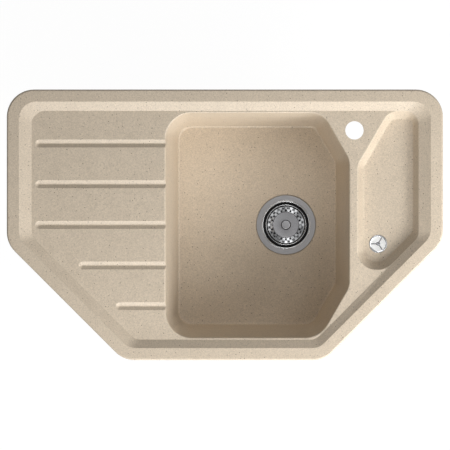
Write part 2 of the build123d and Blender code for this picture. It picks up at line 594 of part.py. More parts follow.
with BuildPart() as basket_knob:
    stem_top_z = BASKET_FLOOR_Z + KNOB_STEM_HEIGHT
    knob_top_z = stem_top_z + KNOB_HEIGHT
    tail_z = BASKET_FLOOR_Z - BASKET_WALL - KNOB_NUT_HEIGHT - KNOB_TAIL_END
    disc(DRAIN, KNOB_RADIUS, stem_top_z, knob_top_z)
    fillet(basket_knob.edges().filter_by(GeomType.CIRCLE), KNOB_ROUND)
    disc(DRAIN, KNOB_STEM_RADIUS, BASKET_FLOOR_Z, stem_top_z)
    disc(DRAIN, KNOB_TAIL_RADIUS, tail_z, BASKET_FLOOR_Z)
finish(basket_knob, "basket_knob")


def hexagon(centre, across_flats, bottom, top):
    """A hexagonal nut or head."""
    with BuildSketch(Plane.XY.offset(bottom)) as face:
        with Locations(centre):
            RegularPolygon(across_flats / 2, 6, major_radius=False)
    extrude(face.sketch, amount=top - bottom)


with BuildPart() as knob_nut:
    nut_top_z = BASKET_FLOOR_Z - BASKET_WALL
    hexagon(DRAIN, KNOB_NUT_ACROSS_FLATS, nut_top_z - KNOB_NUT_HEIGHT, nut_top_z)
    disc(DRAIN, KNOB_TAIL_RADIUS + BOND_GAP, nut_top_z - KNOB_NUT_HEIGHT, nut_top_z, mode=Mode.SUBTRACT)
finish(knob_nut, "knob_nut")


def slotted_screw(centre, radius, head_radius, head_bottom, head_top, end):
    """A screw with a domed, slotted head."""
    disc(centre, head_radius, head_bottom, head_top)
    disc(centre, radius, end, head_bottom)
    with Locations((*centre, head_top)):
        Box(2 * head_radius, SCREW_SLOT_WIDTH, 2 * SCREW_SLOT_DEPTH, mode=Mode.SUBTRACT)


with BuildPart() as centre_screw:
    slotted_screw(DRAIN, CENTRE_SCREW_RADIUS, SCREW_HEAD_RADIUS, CUP_FLOOR_Z, CUP_FLOOR_Z + SCREW_HEAD_HEIGHT,
                  INSERT_TOP_Z - INSERT_LENGTH + SCREW_END_GAP)
finish(centre_screw, "centre_screw")

with BuildPart() as waste_insert:
    ring(DRAIN, CENTRE_SCREW_RADIUS + BOND_GAP, INSERT_RADIUS, INSERT_TOP_Z - INSERT_LENGTH, INSERT_TOP_Z)
finish(waste_insert, "waste_insert")

with BuildPart() as body_seal:
    ring(DRAIN, DRAIN_HOLE_DIAMETER / 2 + SEAL_MARGIN, BODY_FLANGE_RADIUS - SEAL_MARGIN, BODY_TOP_Z,
         BOWL_BOTTOM_Z)
finish(body_seal, "body_seal")


def along_pipe(start, height):
    """A plane facing outwards along the overflow pipe, this far from the drain's axis."""
    way = (cos(radians(PIPE_ANGLE)), sin(radians(PIPE_ANGLE)))
    origin = (DRAIN[0] + start * way[0], DRAIN[1] + start * way[1], height)
    return Plane(origin=origin, x_dir=(0, 0, 1), z_dir=(*way, 0))


def tube(start, end, height, outer, inner=0.0, mode=Mode.ADD):
    """A level cylinder or tube along the overflow pipe's line."""
    with BuildSketch(along_pipe(start, height)) as face:
        Circle(outer)
        if inner:
            Circle(inner, mode=Mode.SUBTRACT)
    extrude(face.sketch, amount=end - start, mode=mode)


BRANCH_END = BODY_BORE + BODY_WALL + BRANCH_LENGTH
SOCKET_END = PIPE_SPAN + SOCKET_LENGTH

with BuildPart() as waste_body:
    # the funnel's outside lies half a wall lower than its inside
    turned(
        [(0, BODY_TOP_Z), (BODY_FLANGE_RADIUS, BODY_TOP_Z),
         (BODY_FLANGE_RADIUS, BODY_TOP_Z - BODY_FLANGE_THICKNESS),
         (BODY_BORE + BODY_WALL, BODY_TOP_Z - BODY_FLANGE_THICKNESS),
         (BODY_BORE + BODY_WALL, BODY_FLOOR_Z - BODY_WALL / 2), (OUTLET_RADIUS, OUTLET_TOP_Z - BODY_WALL / 2),
         (OUTLET_RADIUS, OUTLET_END_Z), (0, OUTLET_END_Z)],
        DRAIN,
    )
    tube(0, BRANCH_END, BRANCH_Z, SOCKET_RADIUS)
    turned(
        [(0, BODY_TOP_Z), (BODY_BORE, BODY_TOP_Z), (BODY_BORE, BODY_FLOOR_Z), (OUTLET_BORE, OUTLET_TOP_Z),
         (OUTLET_BORE, OUTLET_END_Z), (0, OUTLET_END_Z)],
        DRAIN,
        mode=Mode.SUBTRACT,
    )
    tube(0, BRANCH_END, BRANCH_Z, PIPE_RADIUS + BOND_GAP, mode=Mode.SUBTRACT)
    with BuildSketch(Plane.XY.offset(WEB_BOTTOM_Z)) as webs:
        with Locations(DRAIN):
            with PolarLocations(0, WEB_COUNT):
                Rectangle((OUTLET_BORE + OUTLET_RADIUS) / 2, WEB_THICKNESS, align=(Align.MIN, Align.CENTER))
    extrude(webs.sketch, amount=WEB_HEIGHT)
    disc(DRAIN, INSERT_BOSS_RADIUS, WEB_BOTTOM_Z, INSERT_TOP_Z)
    disc(DRAIN, INSERT_RADIUS + BOND_GAP, INSERT_TOP_Z - INSERT_LENGTH, INSERT_TOP_Z, mode=Mode.SUBTRACT)
finish(waste_body, "waste_body")

# ---------------------------------------------------------------- overflow
with BuildPart() as overflow_grille:
    grille_top_z = TROUGH_Z + GRILLE_PROUD
    grille_bottom_z = grille_top_z - GRILLE_THICKNESS
    ring(OVERFLOW, GRILLE_OPENING_RADIUS, GRILLE_DIAMETER / 2, grille_bottom_z, grille_top_z)
    grille_top = overflow_grille.faces().sort_by(Axis.Z)[-1]
    fillet(grille_top.edges(), GRILLE_ROUND)
    with BuildSketch(Plane.XY.offset(grille_bottom_z)) as spokes:
        with Locations(OVERFLOW):
            Circle(GRILLE_HUB_RADIUS)
            for angle in GRILLE_SPOKE_ANGLES:
                Rectangle(GRILLE_SPIGOT_RADIUS, GRILLE_SPOKE, rotation=angle,
                          align=(Align.MIN, Align.CENTER))
    extrude(spokes.sketch, amount=GRILLE_SPOKE_THICKNESS)
    with BuildSketch(Plane.XY.offset(grille_bottom_z)) as spigot:
        with Locations(OVERFLOW):
            Circle(GRILLE_SPIGOT_RADIUS)
            Circle(GRILLE_OPENING_RADIUS, mode=Mode.SUBTRACT)
    extrude(spigot.sketch, amount=-GRILLE_SPIGOT_LENGTH)
    disc(OVERFLOW, OVERFLOW_SCREW_RADIUS + BOND_GAP, grille_bottom_z, grille_top_z, mode=Mode.SUBTRACT)
finish(overflow_grille, "overflow_grille")

HEAD_INSERT_TOP_Z = HEAD_FLOOR_Z + HEAD_BOSS_HEIGHT

with BuildPart() as overflow_screw:
    hub_top_z = grille_bottom_z + GRILLE_SPOKE_THICKNESS
    screw_end_z = HEAD_INSERT_TOP_Z - HEAD_INSERT_LENGTH + SCREW_END_GAP
    slotted_screw(OVERFLOW, OVERFLOW_SCREW_RADIUS, OVERFLOW_SCREW_HEAD, hub_top_z,
                  hub_top_z + OVERFLOW_SCREW_HEAD_HEIGHT, screw_end_z)
finish(overflow_screw, "overflow_screw")

with BuildPart() as overflow_seal:
    ring(OVERFLOW, GRILLE_SPIGOT_RADIUS + RUNNING_GAP + SEAL_MARGIN, HEAD_RADIUS - SEAL_MARGIN, HEAD_TOP_Z,
         TROUGH_BOTTOM_Z)
finish(overflow_seal, "overflow_seal")

with BuildPart() as overflow_head:
    cup_bottom_z = HEAD_FLOOR_Z - HEAD_WALL
    disc(OVERFLOW, HEAD_RADIUS, cup_bottom_z, HEAD_TOP_Z)
    tube(PIPE_SPAN + SOCKET_START, SOCKET_END, SOCKET_Z, SOCKET_RADIUS)
    disc(OVERFLOW, HEAD_BOSS_RADIUS, HEAD_INSERT_TOP_Z - HEAD_INSERT_LENGTH - SCREW_END_GAP, cup_bottom_z)
    disc(OVERFLOW, HEAD_RADIUS - HEAD_WALL, HEAD_FLOOR_Z, HEAD_TOP_Z, mode=Mode.SUBTRACT)
    disc(OVERFLOW, HEAD_BOSS_RADIUS, HEAD_FLOOR_Z, HEAD_INSERT_TOP_Z)
    # the port drops from the cup into the level outlet, which widens into the pipe's socket
    port = along_pipe(PIPE_SPAN + HEAD_PORT_OFFSET, 0).origin
    disc((port.X, port.Y), HEAD_PORT_RADIUS, SOCKET_Z, HEAD_FLOOR_Z, mode=Mode.SUBTRACT)
    tube(PIPE_SPAN + SOCKET_START + HEAD_WALL, SOCKET_END, SOCKET_Z, PIPE_RADIUS - PIPE_WALL,
         mode=Mode.SUBTRACT)
    tube(SOCKET_END - PIPE_IN_SOCKET, SOCKET_END, SOCKET_Z, PIPE_RADIUS + BOND_GAP, mode=Mode.SUBTRACT)
    disc(OVERFLOW, HEAD_INSERT_RADIUS + BOND_GAP, HEAD_INSERT_TOP_Z - HEAD_INSERT_LENGTH, HEAD_INSERT_TOP_Z,
         mode=Mode.SUBTRACT)
finish(overflow_head, "overflow_head")

with BuildPart() as overflow_insert:
    ring(OVERFLOW, OVERFLOW_SCREW_RADIUS + BOND_GAP, HEAD_INSERT_RADIUS,
         HEAD_INSERT_TOP_Z - HEAD_INSERT_LENGTH, HEAD_INSERT_TOP_Z)
finish(overflow_insert, "overflow_insert")

with BuildPart() as overflow_pipe:
    # local x is height and local y is the distance along the pipe's line, so the route lies in one plane
    drain_end = along_pipe(0, 0)
    route_plane = Plane(origin=drain_end.origin, x_dir=drain_end.z_dir, z_dir=drain_end.y_dir)
    sign = 1 if route_plane.y_dir.Z > 0 else -1
    with BuildLine(route_plane) as route:
        FilletPolyline(
            (SOCKET_END - PIPE_IN_SOCKET, sign * SOCKET_Z),
            (PIPE_SPAN + PIPE_RUN, sign * SOCKET_Z),
            (PIPE_SPAN + PIPE_RUN, sign * BRANCH_Z),
            (BRANCH_END - PIPE_IN_SOCKET, sign * BRANCH_Z),
            radius=PIPE_BEND,
        )
    with BuildSketch(Plane(origin=route.line @ 0, z_dir=route.line % 0)) as pipe_section:
        Circle(PIPE_RADIUS)
        Circle(PIPE_RADIUS - PIPE_WALL, mode=Mode.SUBTRACT)
    sweep(pipe_section.sketch, path=route.line)
finish(overflow_pipe, "overflow_pipe")


def slip_joint(name, end, height):
    """The cone washer and the ribbed nut that close a socket on the pipe."""
    with BuildPart() as cone:
        with BuildSketch(along_pipe(end, height)) as foot:
            Circle(SOCKET_RADIUS)
        extrude(foot.sketch, amount=CONE_LENGTH, taper=CONE_TAPER)
        tube(end, end + CONE_LENGTH, height, PIPE_RADIUS + BOND_GAP, mode=Mode.SUBTRACT)
    finish(cone, f"{name}_cone")
    with BuildPart() as nut:
        nut_end = end + CONE_LENGTH + NUT_LIP
        tube(end - NUT_GRIP, nut_end, height, NUT_RADIUS)
        with BuildSketch(along_pipe(end - NUT_GRIP, height)) as ribs:
            with PolarLocations(NUT_RADIUS, NUT_RIBS):
                Circle(NUT_RIB_RADIUS)
        extrude(ribs.sketch, amount=nut_end - end + NUT_GRIP)
        tube(end - NUT_GRIP, end + CONE_LENGTH, height, SOCKET_RADIUS + RUNNING_GAP, mode=Mode.SUBTRACT)
        tube(end + CONE_LENGTH, nut_end, height, PIPE_RADIUS + RUNNING_GAP, mode=Mode.SUBTRACT)
    finish(nut, f"{name}_nut")


slip_joint("head", SOCKET_END, SOCKET_Z)
slip_joint("branch", BRANCH_END, BRANCH_Z)

# ---------------------------------------------------------------- worktop clips
with BuildPart() as clip_inserts:
    for x, y, _ in CLIPS:
        ring((x, y), CLIP_SCREW_RADIUS + BOND_GAP, CLIP_INSERT_RADIUS, -BOSS_BOTTOM,
             CLIP_INSERT_LENGTH - BOSS_BOTTOM)
finish(clip_inserts, "clip_inserts")

with BuildPart() as clip_screws:
    for x, y, _ in CLIPS:
        washer_top_z = CLIP_HEAD_TOP_Z + CLIP_WASHER_THICKNESS
        hexagon((x, y), CLIP_HEAD_ACROSS_FLATS, CLIP_HEAD_TOP_Z - CLIP_HEAD_HEIGHT, CLIP_HEAD_TOP_Z)
        disc((x, y), CLIP_WASHER_RADIUS, CLIP_HEAD_TOP_Z, washer_top_z)
        disc((x, y), CLIP_SCREW_RADIUS, washer_top_z, CLIP_INSERT_LENGTH - BOSS_BOTTOM - SCREW_END_GAP)
finish(clip_screws, "clip_screws")


def clip_arm(x, y, outward):
    """A bent steel arm, parked along its side of the sink: heel under the boss, tip up at the far end."""
    tip_z = -WORKTOP_THICKNESS - RUNNING_GAP
    heel_z = -BOSS_BOTTOM - RUNNING_GAP
    inner_bend = ARM_BEND - ARM_THICKNESS
    way = radians(outward - 90)
    side = Plane(origin=(x, y, 0), x_dir=(cos(way), sin(way), 0), z_dir=(sin(way), -cos(way), 0))
    with BuildPart() as arm:
        with BuildSketch(side) as profile:
            with BuildLine():
                FilletPolyline(
                    (-ARM_HEEL, ARM_BOTTOM_Z),
                    (ARM_REACH, ARM_BOTTOM_Z),
                    (ARM_REACH, tip_z),
                    (ARM_REACH - ARM_THICKNESS, tip_z),
                    (ARM_REACH - ARM_THICKNESS, ARM_TOP_Z),
                    (ARM_THICKNESS - ARM_HEEL, ARM_TOP_Z),
                    (ARM_THICKNESS - ARM_HEEL, heel_z),
                    (-ARM_HEEL, heel_z),
                    radius=[ARM_BEND, ARM_BEND, 0, 0, inner_bend, inner_bend, 0, 0],
                    close=True,
                )
            make_face()
        extrude(profile.sketch, amount=ARM_WIDTH / 2, both=True)
        disc((x, y), CLIP_SCREW_RADIUS + RUNNING_GAP, ARM_BOTTOM_Z, ARM_TOP_Z, mode=Mode.SUBTRACT)
    return arm


for number, place in enumerate(CLIPS, start=1):
    finish(clip_arm(*place), f"clip_arm_{number}")
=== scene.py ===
import json
from math import acos, atan2, ceil, cos, hypot, pi, radians, sin, tan, tau

import bmesh
import bpy
from mathutils import Matrix, Vector

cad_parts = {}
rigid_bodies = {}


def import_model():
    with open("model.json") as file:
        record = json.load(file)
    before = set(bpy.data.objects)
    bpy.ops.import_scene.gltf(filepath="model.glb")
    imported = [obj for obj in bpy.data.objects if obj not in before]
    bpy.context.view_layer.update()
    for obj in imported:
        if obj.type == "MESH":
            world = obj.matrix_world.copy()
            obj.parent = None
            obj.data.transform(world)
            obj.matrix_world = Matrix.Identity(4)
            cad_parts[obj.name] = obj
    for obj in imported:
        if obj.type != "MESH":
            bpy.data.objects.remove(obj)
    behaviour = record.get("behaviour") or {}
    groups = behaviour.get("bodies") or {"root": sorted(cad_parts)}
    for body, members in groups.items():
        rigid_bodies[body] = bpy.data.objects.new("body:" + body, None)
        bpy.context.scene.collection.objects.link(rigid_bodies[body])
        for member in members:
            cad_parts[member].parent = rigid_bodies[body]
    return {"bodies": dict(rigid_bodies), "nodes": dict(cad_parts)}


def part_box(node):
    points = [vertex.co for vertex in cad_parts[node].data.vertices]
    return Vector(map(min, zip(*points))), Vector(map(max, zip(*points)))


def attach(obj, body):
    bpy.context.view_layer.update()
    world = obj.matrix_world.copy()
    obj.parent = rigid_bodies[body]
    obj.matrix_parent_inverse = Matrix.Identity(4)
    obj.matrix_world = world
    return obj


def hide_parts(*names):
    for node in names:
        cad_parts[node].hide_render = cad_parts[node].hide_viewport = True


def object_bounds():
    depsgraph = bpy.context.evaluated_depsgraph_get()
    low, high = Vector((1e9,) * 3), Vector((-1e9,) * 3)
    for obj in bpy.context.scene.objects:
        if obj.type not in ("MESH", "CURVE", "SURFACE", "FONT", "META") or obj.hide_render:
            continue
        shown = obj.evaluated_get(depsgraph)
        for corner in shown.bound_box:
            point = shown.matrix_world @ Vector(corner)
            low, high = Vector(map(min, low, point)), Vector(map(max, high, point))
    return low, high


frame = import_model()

MM = 0.001
cad_box = [list(corner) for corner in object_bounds()]

# ---------------------------------------------------------------- camera
# The sink is seen from straight above and from far off, with its back edge at the top of the picture,
# so the picture's scale is set at the height of the rim.
PICTURE_WIDTH = 856.1 * MM
LENS, SENSOR = 870.0, 36.0
PICTURE_CENTRE = (0.2 * MM, -0.3 * MM)

rim_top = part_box("sink_body")[1].z
camera_data = bpy.data.cameras.new("camera")
camera_data.lens = LENS
camera_data.sensor_width = SENSOR
camera_data.clip_end = 100.0
camera = bpy.data.objects.new("camera", camera_data)
camera.location = (*PICTURE_CENTRE, rim_top + PICTURE_WIDTH * LENS / SENSOR)
bpy.context.collection.objects.link(camera)
scene = bpy.context.scene
scene.camera = camera
scene.view_settings.view_transform = "Standard"


# ---------------------------------------------------------------- floor and light
# A white studio floor at the height of the waste's lower end and seven soft square lamps: the strongest is
# low at the front right. Polished metal also mirrors a grey room with three windows high above.
FLOOR_SIZE = 200.0
FLOOR_COLOUR = (0.80, 0.80, 0.80, 1.0)
FLOOR_GLOW, FLOOR_SHADE = 0.97, (0.06, 0.06, 0.06, 1.0)
ROOM_FILL = 0.0
ROOM_ZENITH, ROOM_HORIZON, HORIZON_HEIGHT = 0.42, 0.80, 0.2
WINDOW_SOFTNESS = radians(4.0)
WINDOWS = (
    # direction from the sink, angle from its middle to its edge, strength
    ((-0.58, -0.10, 0.81), radians(9.0), 1.5),
    ((-0.38, 0.45, 0.81), radians(10.0), 0.8),
    ((0.38, -0.45, 0.81), radians(14.0), 1.3),
)
LAMPS = (
    # direction from the sink, distance, size, power
    ((0.483, -0.837, 0.259), 2.8, 2.0, 58.6),
    ((0.000, -0.819, 0.574), 2.8, 1.0, 26.9),
    ((0.709, -0.410, 0.574), 2.8, 1.0, 23.5),
    ((0.000, 0.500, 0.866), 2.8, 1.0, 10.9),
    ((0.500, 0.000, 0.866), 2.8, 1.0, 8.9),
    ((0.908, -0.243, 0.342), 1.1, 0.45, 3.4),
    ((-0.183, -0.683, 0.707), 1.1, 0.45, 1.6),
)


def add_node(tree, kind, inputs=(), **settings):
    """A node of this kind. Each input is a plain value, or another node's output to link from."""
    node = tree.nodes.new(kind)
    for key, value in settings.items():
        setattr(node, key, value)
    for key, value in dict(inputs).items():
        if isinstance(value, bpy.types.NodeSocket):
            tree.links.new(value, node.inputs[key])
        else:
            node.inputs[key].default_value = value
    return node


def maths(tree, operation, *values):
    """The result of a Math node over these numbers or outputs."""
    return add_node(tree, "ShaderNodeMath", dict(enumerate(values)), operation=operation).outputs[0]


floor_mesh = bpy.data.meshes.new("floor")
half = FLOOR_SIZE / 2
floor_z = cad_box[0][2]
floor_mesh.from_pydata(
    [(-half, -half, floor_z), (half, -half, floor_z), (half, half, floor_z), (-half, half, floor_z)],
    [],
    [(0, 1, 2, 3)],
)
floor_material = bpy.data.materials.new("studio_floor")
floor_material.use_nodes = True
tree = floor_material.node_tree
floor_shader = tree.nodes["Principled BSDF"]
floor_shader.inputs["Roughness"].default_value = 1.0
floor_shader.inputs["Specular IOR Level"].default_value = 0.0
floor_shader.inputs["Base Color"].default_value = FLOOR_COLOUR
# the eye and polished metal see the floor by its own glow, with a faint shadow on it
ray = add_node(tree, "ShaderNodeLightPath").outputs
seen = maths(tree, "MAXIMUM", ray["Is Camera Ray"], ray["Is Glossy Ray"])
seen = maths(tree, "MAXIMUM", seen, ray["Is Transmission Ray"])
glow = add_node(tree, "ShaderNodeEmission", {"Strength": FLOOR_GLOW})
shadowed = add_node(tree, "ShaderNodeBsdfDiffuse", {"Color": FLOOR_SHADE})
bright = add_node(tree, "ShaderNodeAddShader", {0: glow.outputs[0], 1: shadowed.outputs[0]})
mix = add_node(tree, "ShaderNodeMixShader",
               {"Fac": seen, 1: floor_shader.outputs[0], 2: bright.outputs[0]})
tree.links.new(mix.outputs[0], tree.nodes["Material Output"].inputs["Surface"])
floor_mesh.materials.append(floor_material)
floor = bpy.data.objects.new("floor", floor_mesh)
bpy.context.collection.objects.link(floor)

room = bpy.data.worlds.new("room")
scene.world = room
room.use_nodes = True
tree = room.node_tree
fill = tree.nodes["Background"]
fill.inputs["Strength"].default_value = ROOM_FILL
ray = add_node(tree, "ShaderNodeLightPath").outputs
direction = add_node(tree, "ShaderNodeTexCoord").outputs["Generated"]
height = add_node(tree, "ShaderNodeSeparateXYZ", {0: direction}).outputs["Z"]
mirror_strength = add_node(tree, "ShaderNodeMapRange",
                           {"Value": height, "From Min": HORIZON_HEIGHT, "From Max": 1.0,
                            "To Min": ROOM_HORIZON, "To Max": ROOM_ZENITH}).outputs[0]
for way, reach_angle, strength in WINDOWS:
    towards = add_node(tree, "ShaderNodeVectorMath", {0: direction, 1: Vector(way).normalized()},
                       operation="DOT_PRODUCT").outputs["Value"]
    window = add_node(tree, "ShaderNodeMapRange",
                      {"Value": towards, "From Min": cos(reach_angle + WINDOW_SOFTNESS),
                       "From Max": cos(reach_angle - WINDOW_SOFTNESS),
                       "To Min": 0.0, "To Max": strength}).outputs[0]
    mirror_strength = maths(tree, "ADD", mirror_strength, window)
mirrored = add_node(tree, "ShaderNodeBackground", {"Strength": mirror_strength})
white = add_node(tree, "ShaderNodeBackground", {"Color": (1.0, 1.0, 1.0, 1.0), "Strength": 1.0})
direct = maths(tree, "MAXIMUM", ray["Is Camera Ray"], ray["Is Transmission Ray"])
glossy = add_node(tree, "ShaderNodeMixShader",
                  {"Fac": ray["Is Glossy Ray"], 1: fill.outputs[0], 2: mirrored.outputs[0]})
shown = add_node(tree, "ShaderNodeMixShader", {"Fac": direct, 1: glossy.outputs[0], 2: white.outputs[0]})
tree.links.new(shown.outputs[0], tree.nodes["World Output"].inputs["Surface"])

for number, (way, distance, size, power) in enumerate(LAMPS, start=1):
    lamp_data = bpy.data.lights.new(f"softbox_{number}", "AREA")
    lamp_data.shape = "SQUARE"
    lamp_data.size = size
    lamp_data.energy = power
    lamp = bpy.data.objects.new(f"softbox_{number}", lamp_data)
    towards = Vector(way).normalized()
    lamp.location = towards * distance
    lamp.rotation_euler = towards.to_track_quat("Z", "Y").to_euler()
    bpy.context.collection.objects.link(lamp)


# ---------------------------------------------------------------- sink body
# One moulding of granite composite: crushed quartz in acrylic resin, cast face down in a polished mould.
# Its colour goes all the way through; fine grain and sparse dark grit show at the surface.
COMPOSITE = (0.622, 0.527, 0.410)
COMPOSITE_ROUGHNESS = 0.46
GRAIN_SCALE, GRAIN_CONTRAST, GRAIN_HEIGHT = 420.0, 0.19, 0.08 * MM
CLOUD_SCALE = 36.0
CLOUD_DARK, CLOUD_LIGHT = (0.978, 0.975, 0.970), (1.03, 1.03, 1.03)
GRITS = (
    # cells per metre, radius as a share of a cell, share of the cells that hold a grain, colour, strength
    (125.0, 0.105, 0.75, (0.13, 0.09, 0.06), 0.9),
    (300.0, 0.170, 0.60, (0.26, 0.20, 0.14), 0.65),
)
EDGE_ANGLE = 20.0
FLAT_ANGLE = 0.4
SAME_POINT = 0.002 * MM


def new_material(name, **values):
    """A material, its shader with these plain values, and the coordinates that its patterns follow."""
    made = bpy.data.materials.new(name)
    made.use_nodes = True
    shader = made.node_tree.nodes["Principled BSDF"]
    for socket, value in values.items():
        shader.inputs[socket.replace("_", " ")].default_value = value
    place = add_node(made.node_tree, "ShaderNodeTexCoord").outputs["Object"]
    return made, shader, place


def noise(tree, place, scale, detail, roughness=0.5):
    """A noise pattern with this many cells per metre."""
    return add_node(tree, "ShaderNodeTexNoise",
                    {"Vector": place, "Scale": scale, "Detail": detail, "Roughness": roughness}).outputs[0]


def ramp(tree, value, stops):
    """A colour ramp over a value. Each stop is (position, grey or colour)."""
    node = add_node(tree, "ShaderNodeValToRGB", {"Fac": value})
    elements = node.color_ramp.elements
    while len(elements) < len(stops):
        elements.new(1.0)
    for element, (position, colour) in zip(elements, stops):
        element.position = position
        if isinstance(colour, float):
            colour = (colour, colour, colour)
        element.color = (*colour, 1.0)
    return node.outputs["Color"]


def feed(shader, socket, value, stops):
    """Feeds a socket of the shader from a colour ramp over a value."""
    tree = shader.id_data
    tree.links.new(ramp(tree, value, stops), shader.inputs[socket])


def emboss(shader, height, strength, depth):
    """Gives the surface the fine relief of a height pattern."""
    tree = shader.id_data
    bump = add_node(tree, "ShaderNodeBump", {"Height": height, "Strength": strength, "Distance": depth})
    tree.links.new(bump.outputs[0], shader.inputs["Normal"])


def shade(colour, amount):
    """A colour made lighter or darker by a factor."""
    return tuple(channel * amount for channel in colour)


def granite_composite():
    """Beige composite: mottled grain, soft clouds and sparse dark grit."""
    made, shader, place = new_material("granite_composite")
    tree = made.node_tree
    grain = noise(tree, place, GRAIN_SCALE, 4.0, 0.7)
    cloud = noise(tree, place, CLOUD_SCALE, 3.0, 0.55)
    grained = ramp(tree, grain, [(0.30, shade(COMPOSITE, 1.0 - GRAIN_CONTRAST)), (0.5, COMPOSITE),
                                 (0.70, shade(COMPOSITE, 1.0 + GRAIN_CONTRAST))])
    clouded = add_node(tree, "ShaderNodeMix", {"Factor": 1.0}, data_type="RGBA", blend_type="MULTIPLY")
    tree.links.new(grained, clouded.inputs["A"])
    tree.links.new(ramp(tree, cloud, [(0.3, CLOUD_DARK), (0.7, CLOUD_LIGHT)]), clouded.inputs["B"])
    colour = clouded.outputs["Result"]
    for scale, radius, share, grit_colour, strength in GRITS:
        grit = add_node(tree, "ShaderNodeTexVoronoi",
                        {"Vector": place, "Scale": scale, "Randomness": 1.0}, feature="F1")
        # a grain shows only in the cells whose own random value is low enough
        chosen = add_node(tree, "ShaderNodeSeparateColor", {0: grit.outputs["Color"]}).outputs[0]
        small = maths(tree, "LESS_THAN", grit.outputs["Distance"], radius)
        speck = maths(tree, "MULTIPLY", small, maths(tree, "LESS_THAN", chosen, share))
        gritted = add_node(tree, "ShaderNodeMix", {"Factor": maths(tree, "MULTIPLY", speck, strength)},
                           data_type="RGBA")
        tree.links.new(colour, gritted.inputs["A"])
        gritted.inputs["B"].default_value = (*grit_colour, 1.0)
        colour = gritted.outputs["Result"]
    tree.links.new(colour, shader.inputs["Base Color"])
    feed(shader, "Roughness", grain, [(0.3, COMPOSITE_ROUGHNESS - 0.05), (0.7, COMPOSITE_ROUGHNESS + 0.06)])
    emboss(shader, grain, 0.25, GRAIN_HEIGHT)
    return made


def moulded_copy(node, name, material):
    """A copy of a CAD node's mesh with its points joined, smooth except across its edges."""
    mesh = frame["nodes"][node].data.copy()
    mesh.name = name
    work = bmesh.new()
    work.from_mesh(mesh)
    bmesh.ops.remove_doubles(work, verts=work.verts, dist=SAME_POINT)
    bmesh.ops.dissolve_degenerate(work, edges=work.edges, dist=SAME_POINT)
    # a flat face is one polygon again, so that its own normal carries its whole area
    bmesh.ops.dissolve_limit(work, angle_limit=radians(FLAT_ANGLE), verts=work.verts, edges=work.edges)
    for face in work.faces:
        face.smooth = True
    for edge in work.edges:
        edge.smooth = edge.calc_face_angle(0.0) < radians(EDGE_ANGLE)
    work.to_mesh(mesh)
    work.free()
    mesh.materials.clear()
    mesh.materials.append(material)
    piece = bpy.data.objects.new(name, mesh)
    bpy.context.collection.objects.link(piece)
    normals = piece.modifiers.new("flat faces stay flat", "WEIGHTED_NORMAL")
    normals.mode = "FACE_AREA"
    normals.keep_sharp = True
    return piece


def settled(piece):
    """The piece with its modifiers worked into its mesh."""
    graph = bpy.context.evaluated_depsgraph_get()
    mesh = bpy.data.meshes.new_from_object(piece.evaluated_get(graph))
    piece.modifiers.clear()
    mesh.name = piece.name
    piece.data = mesh
    return piece


def fitted(piece, body, slot, *nodes):
    """Says which body a piece moves with and which CAD nodes it stands for; the slot, its finish, is not
    used.
    """
    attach(piece, body)
    if nodes:
        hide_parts(*nodes)
    return piece


composite = granite_composite()
sink = settled(moulded_copy("sink_body", "sink_moulding", composite))
fitted(sink, "sink", "composite", "sink_body")


# ---------------------------------------------------------------- rim seal
# A strip of closed-cell foam, stuck in the groove of the rim's underside. The worktop presses it flat
# when the clips are tightened.
CELL_SCALE, CELL_DEPTH = 1300.0, 0.3 * MM


def foam():
    """Dark sealing foam with small closed cells."""
    made, shader, place = new_material("sealing_foam", Roughness=0.95, Specular_IOR_Level=0.2)
    cells = add_node(made.node_tree, "ShaderNodeTexVoronoi",
                     {"Vector": place, "Scale": CELL_SCALE}).outputs["Distance"]
    feed(shader, "Base Color", cells, [(0.0, 0.05), (0.6, 0.12)])
    emboss(shader, cells, 0.6, CELL_DEPTH)
    return made


def finished(node, material):
    """Gives a CAD node that keeps its own shape its material."""
    mesh_object = frame["nodes"][node]
    mesh_object.data.materials.clear()
    mesh_object.data.materials.append(material)


finished("rim_seal", foam())


# ---------------------------------------------------------------- waste flange
# Pressed from one sheet of stainless steel: a satin flange, a polished bead round the mouth, the neck,
# the sloping seat of the basket's ring, and the cup with its slotted floor.
FLANGE_EDGE, FLANGE_DEPTH, FLANGE_FALL = 0.7 * MM, 1.5 * MM, 0.6 * MM
FLANGE_ROUND, UNDERSIDE_ROUND = 0.5 * MM, 0.3 * MM
BEAD_WIDTH, BEAD_RISE, BEAD_FOOT = 2.6 * MM, 0.9 * MM, 0.4 * MM
BEAD_FOOT_ROUND, BEAD_ROUND, MOUTH_ROUND = 0.3 * MM, 0.9 * MM, 1.1 * MM
POLISHED_PAST_BEAD = 0.7 * MM
SHEET = 1.0 * MM
NECK_DROP, SEAT_DROP = 13.5 * MM, 19.5 * MM
CUP_STEP = 5.2 * MM
NECK_WALL_RADIUS = 44.7 * MM
NECK_BEND, NECK_OUTER_BEND = 2.0 * MM, 1.5 * MM
CUP_BEND, CUP_OUTER_BEND = 3.0 * MM, 3.5 * MM
STEEP = 0.45
ROUND_STEPS = 160
ARC_STEPS = 6
ON_AXIS = 1e-7
LINE_SCALE, LINE_STRETCH, LINE_DEPTH = 2600.0, 0.004, 0.02 * MM
CUP_SLOTS = 6
CUP_HUB, CUP_SPOKE, CUP_FLOOR_EDGE = 9.0 * MM, 6.0 * MM, 6.0 * MM
SPOKE_BITE, CUP_SPOKE_ROUND = 0.5 * MM, 0.25 * MM

flange_low, flange_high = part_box("strainer_flange")
drain = Vector(((flange_low.x + flange_high.x) / 2, (flange_low.y + flange_high.y) / 2, 0.0))
flange_radius = (flange_high.x - flange_low.x) / 2
flange_top, cup_bottom = flange_high.z, flange_low.z


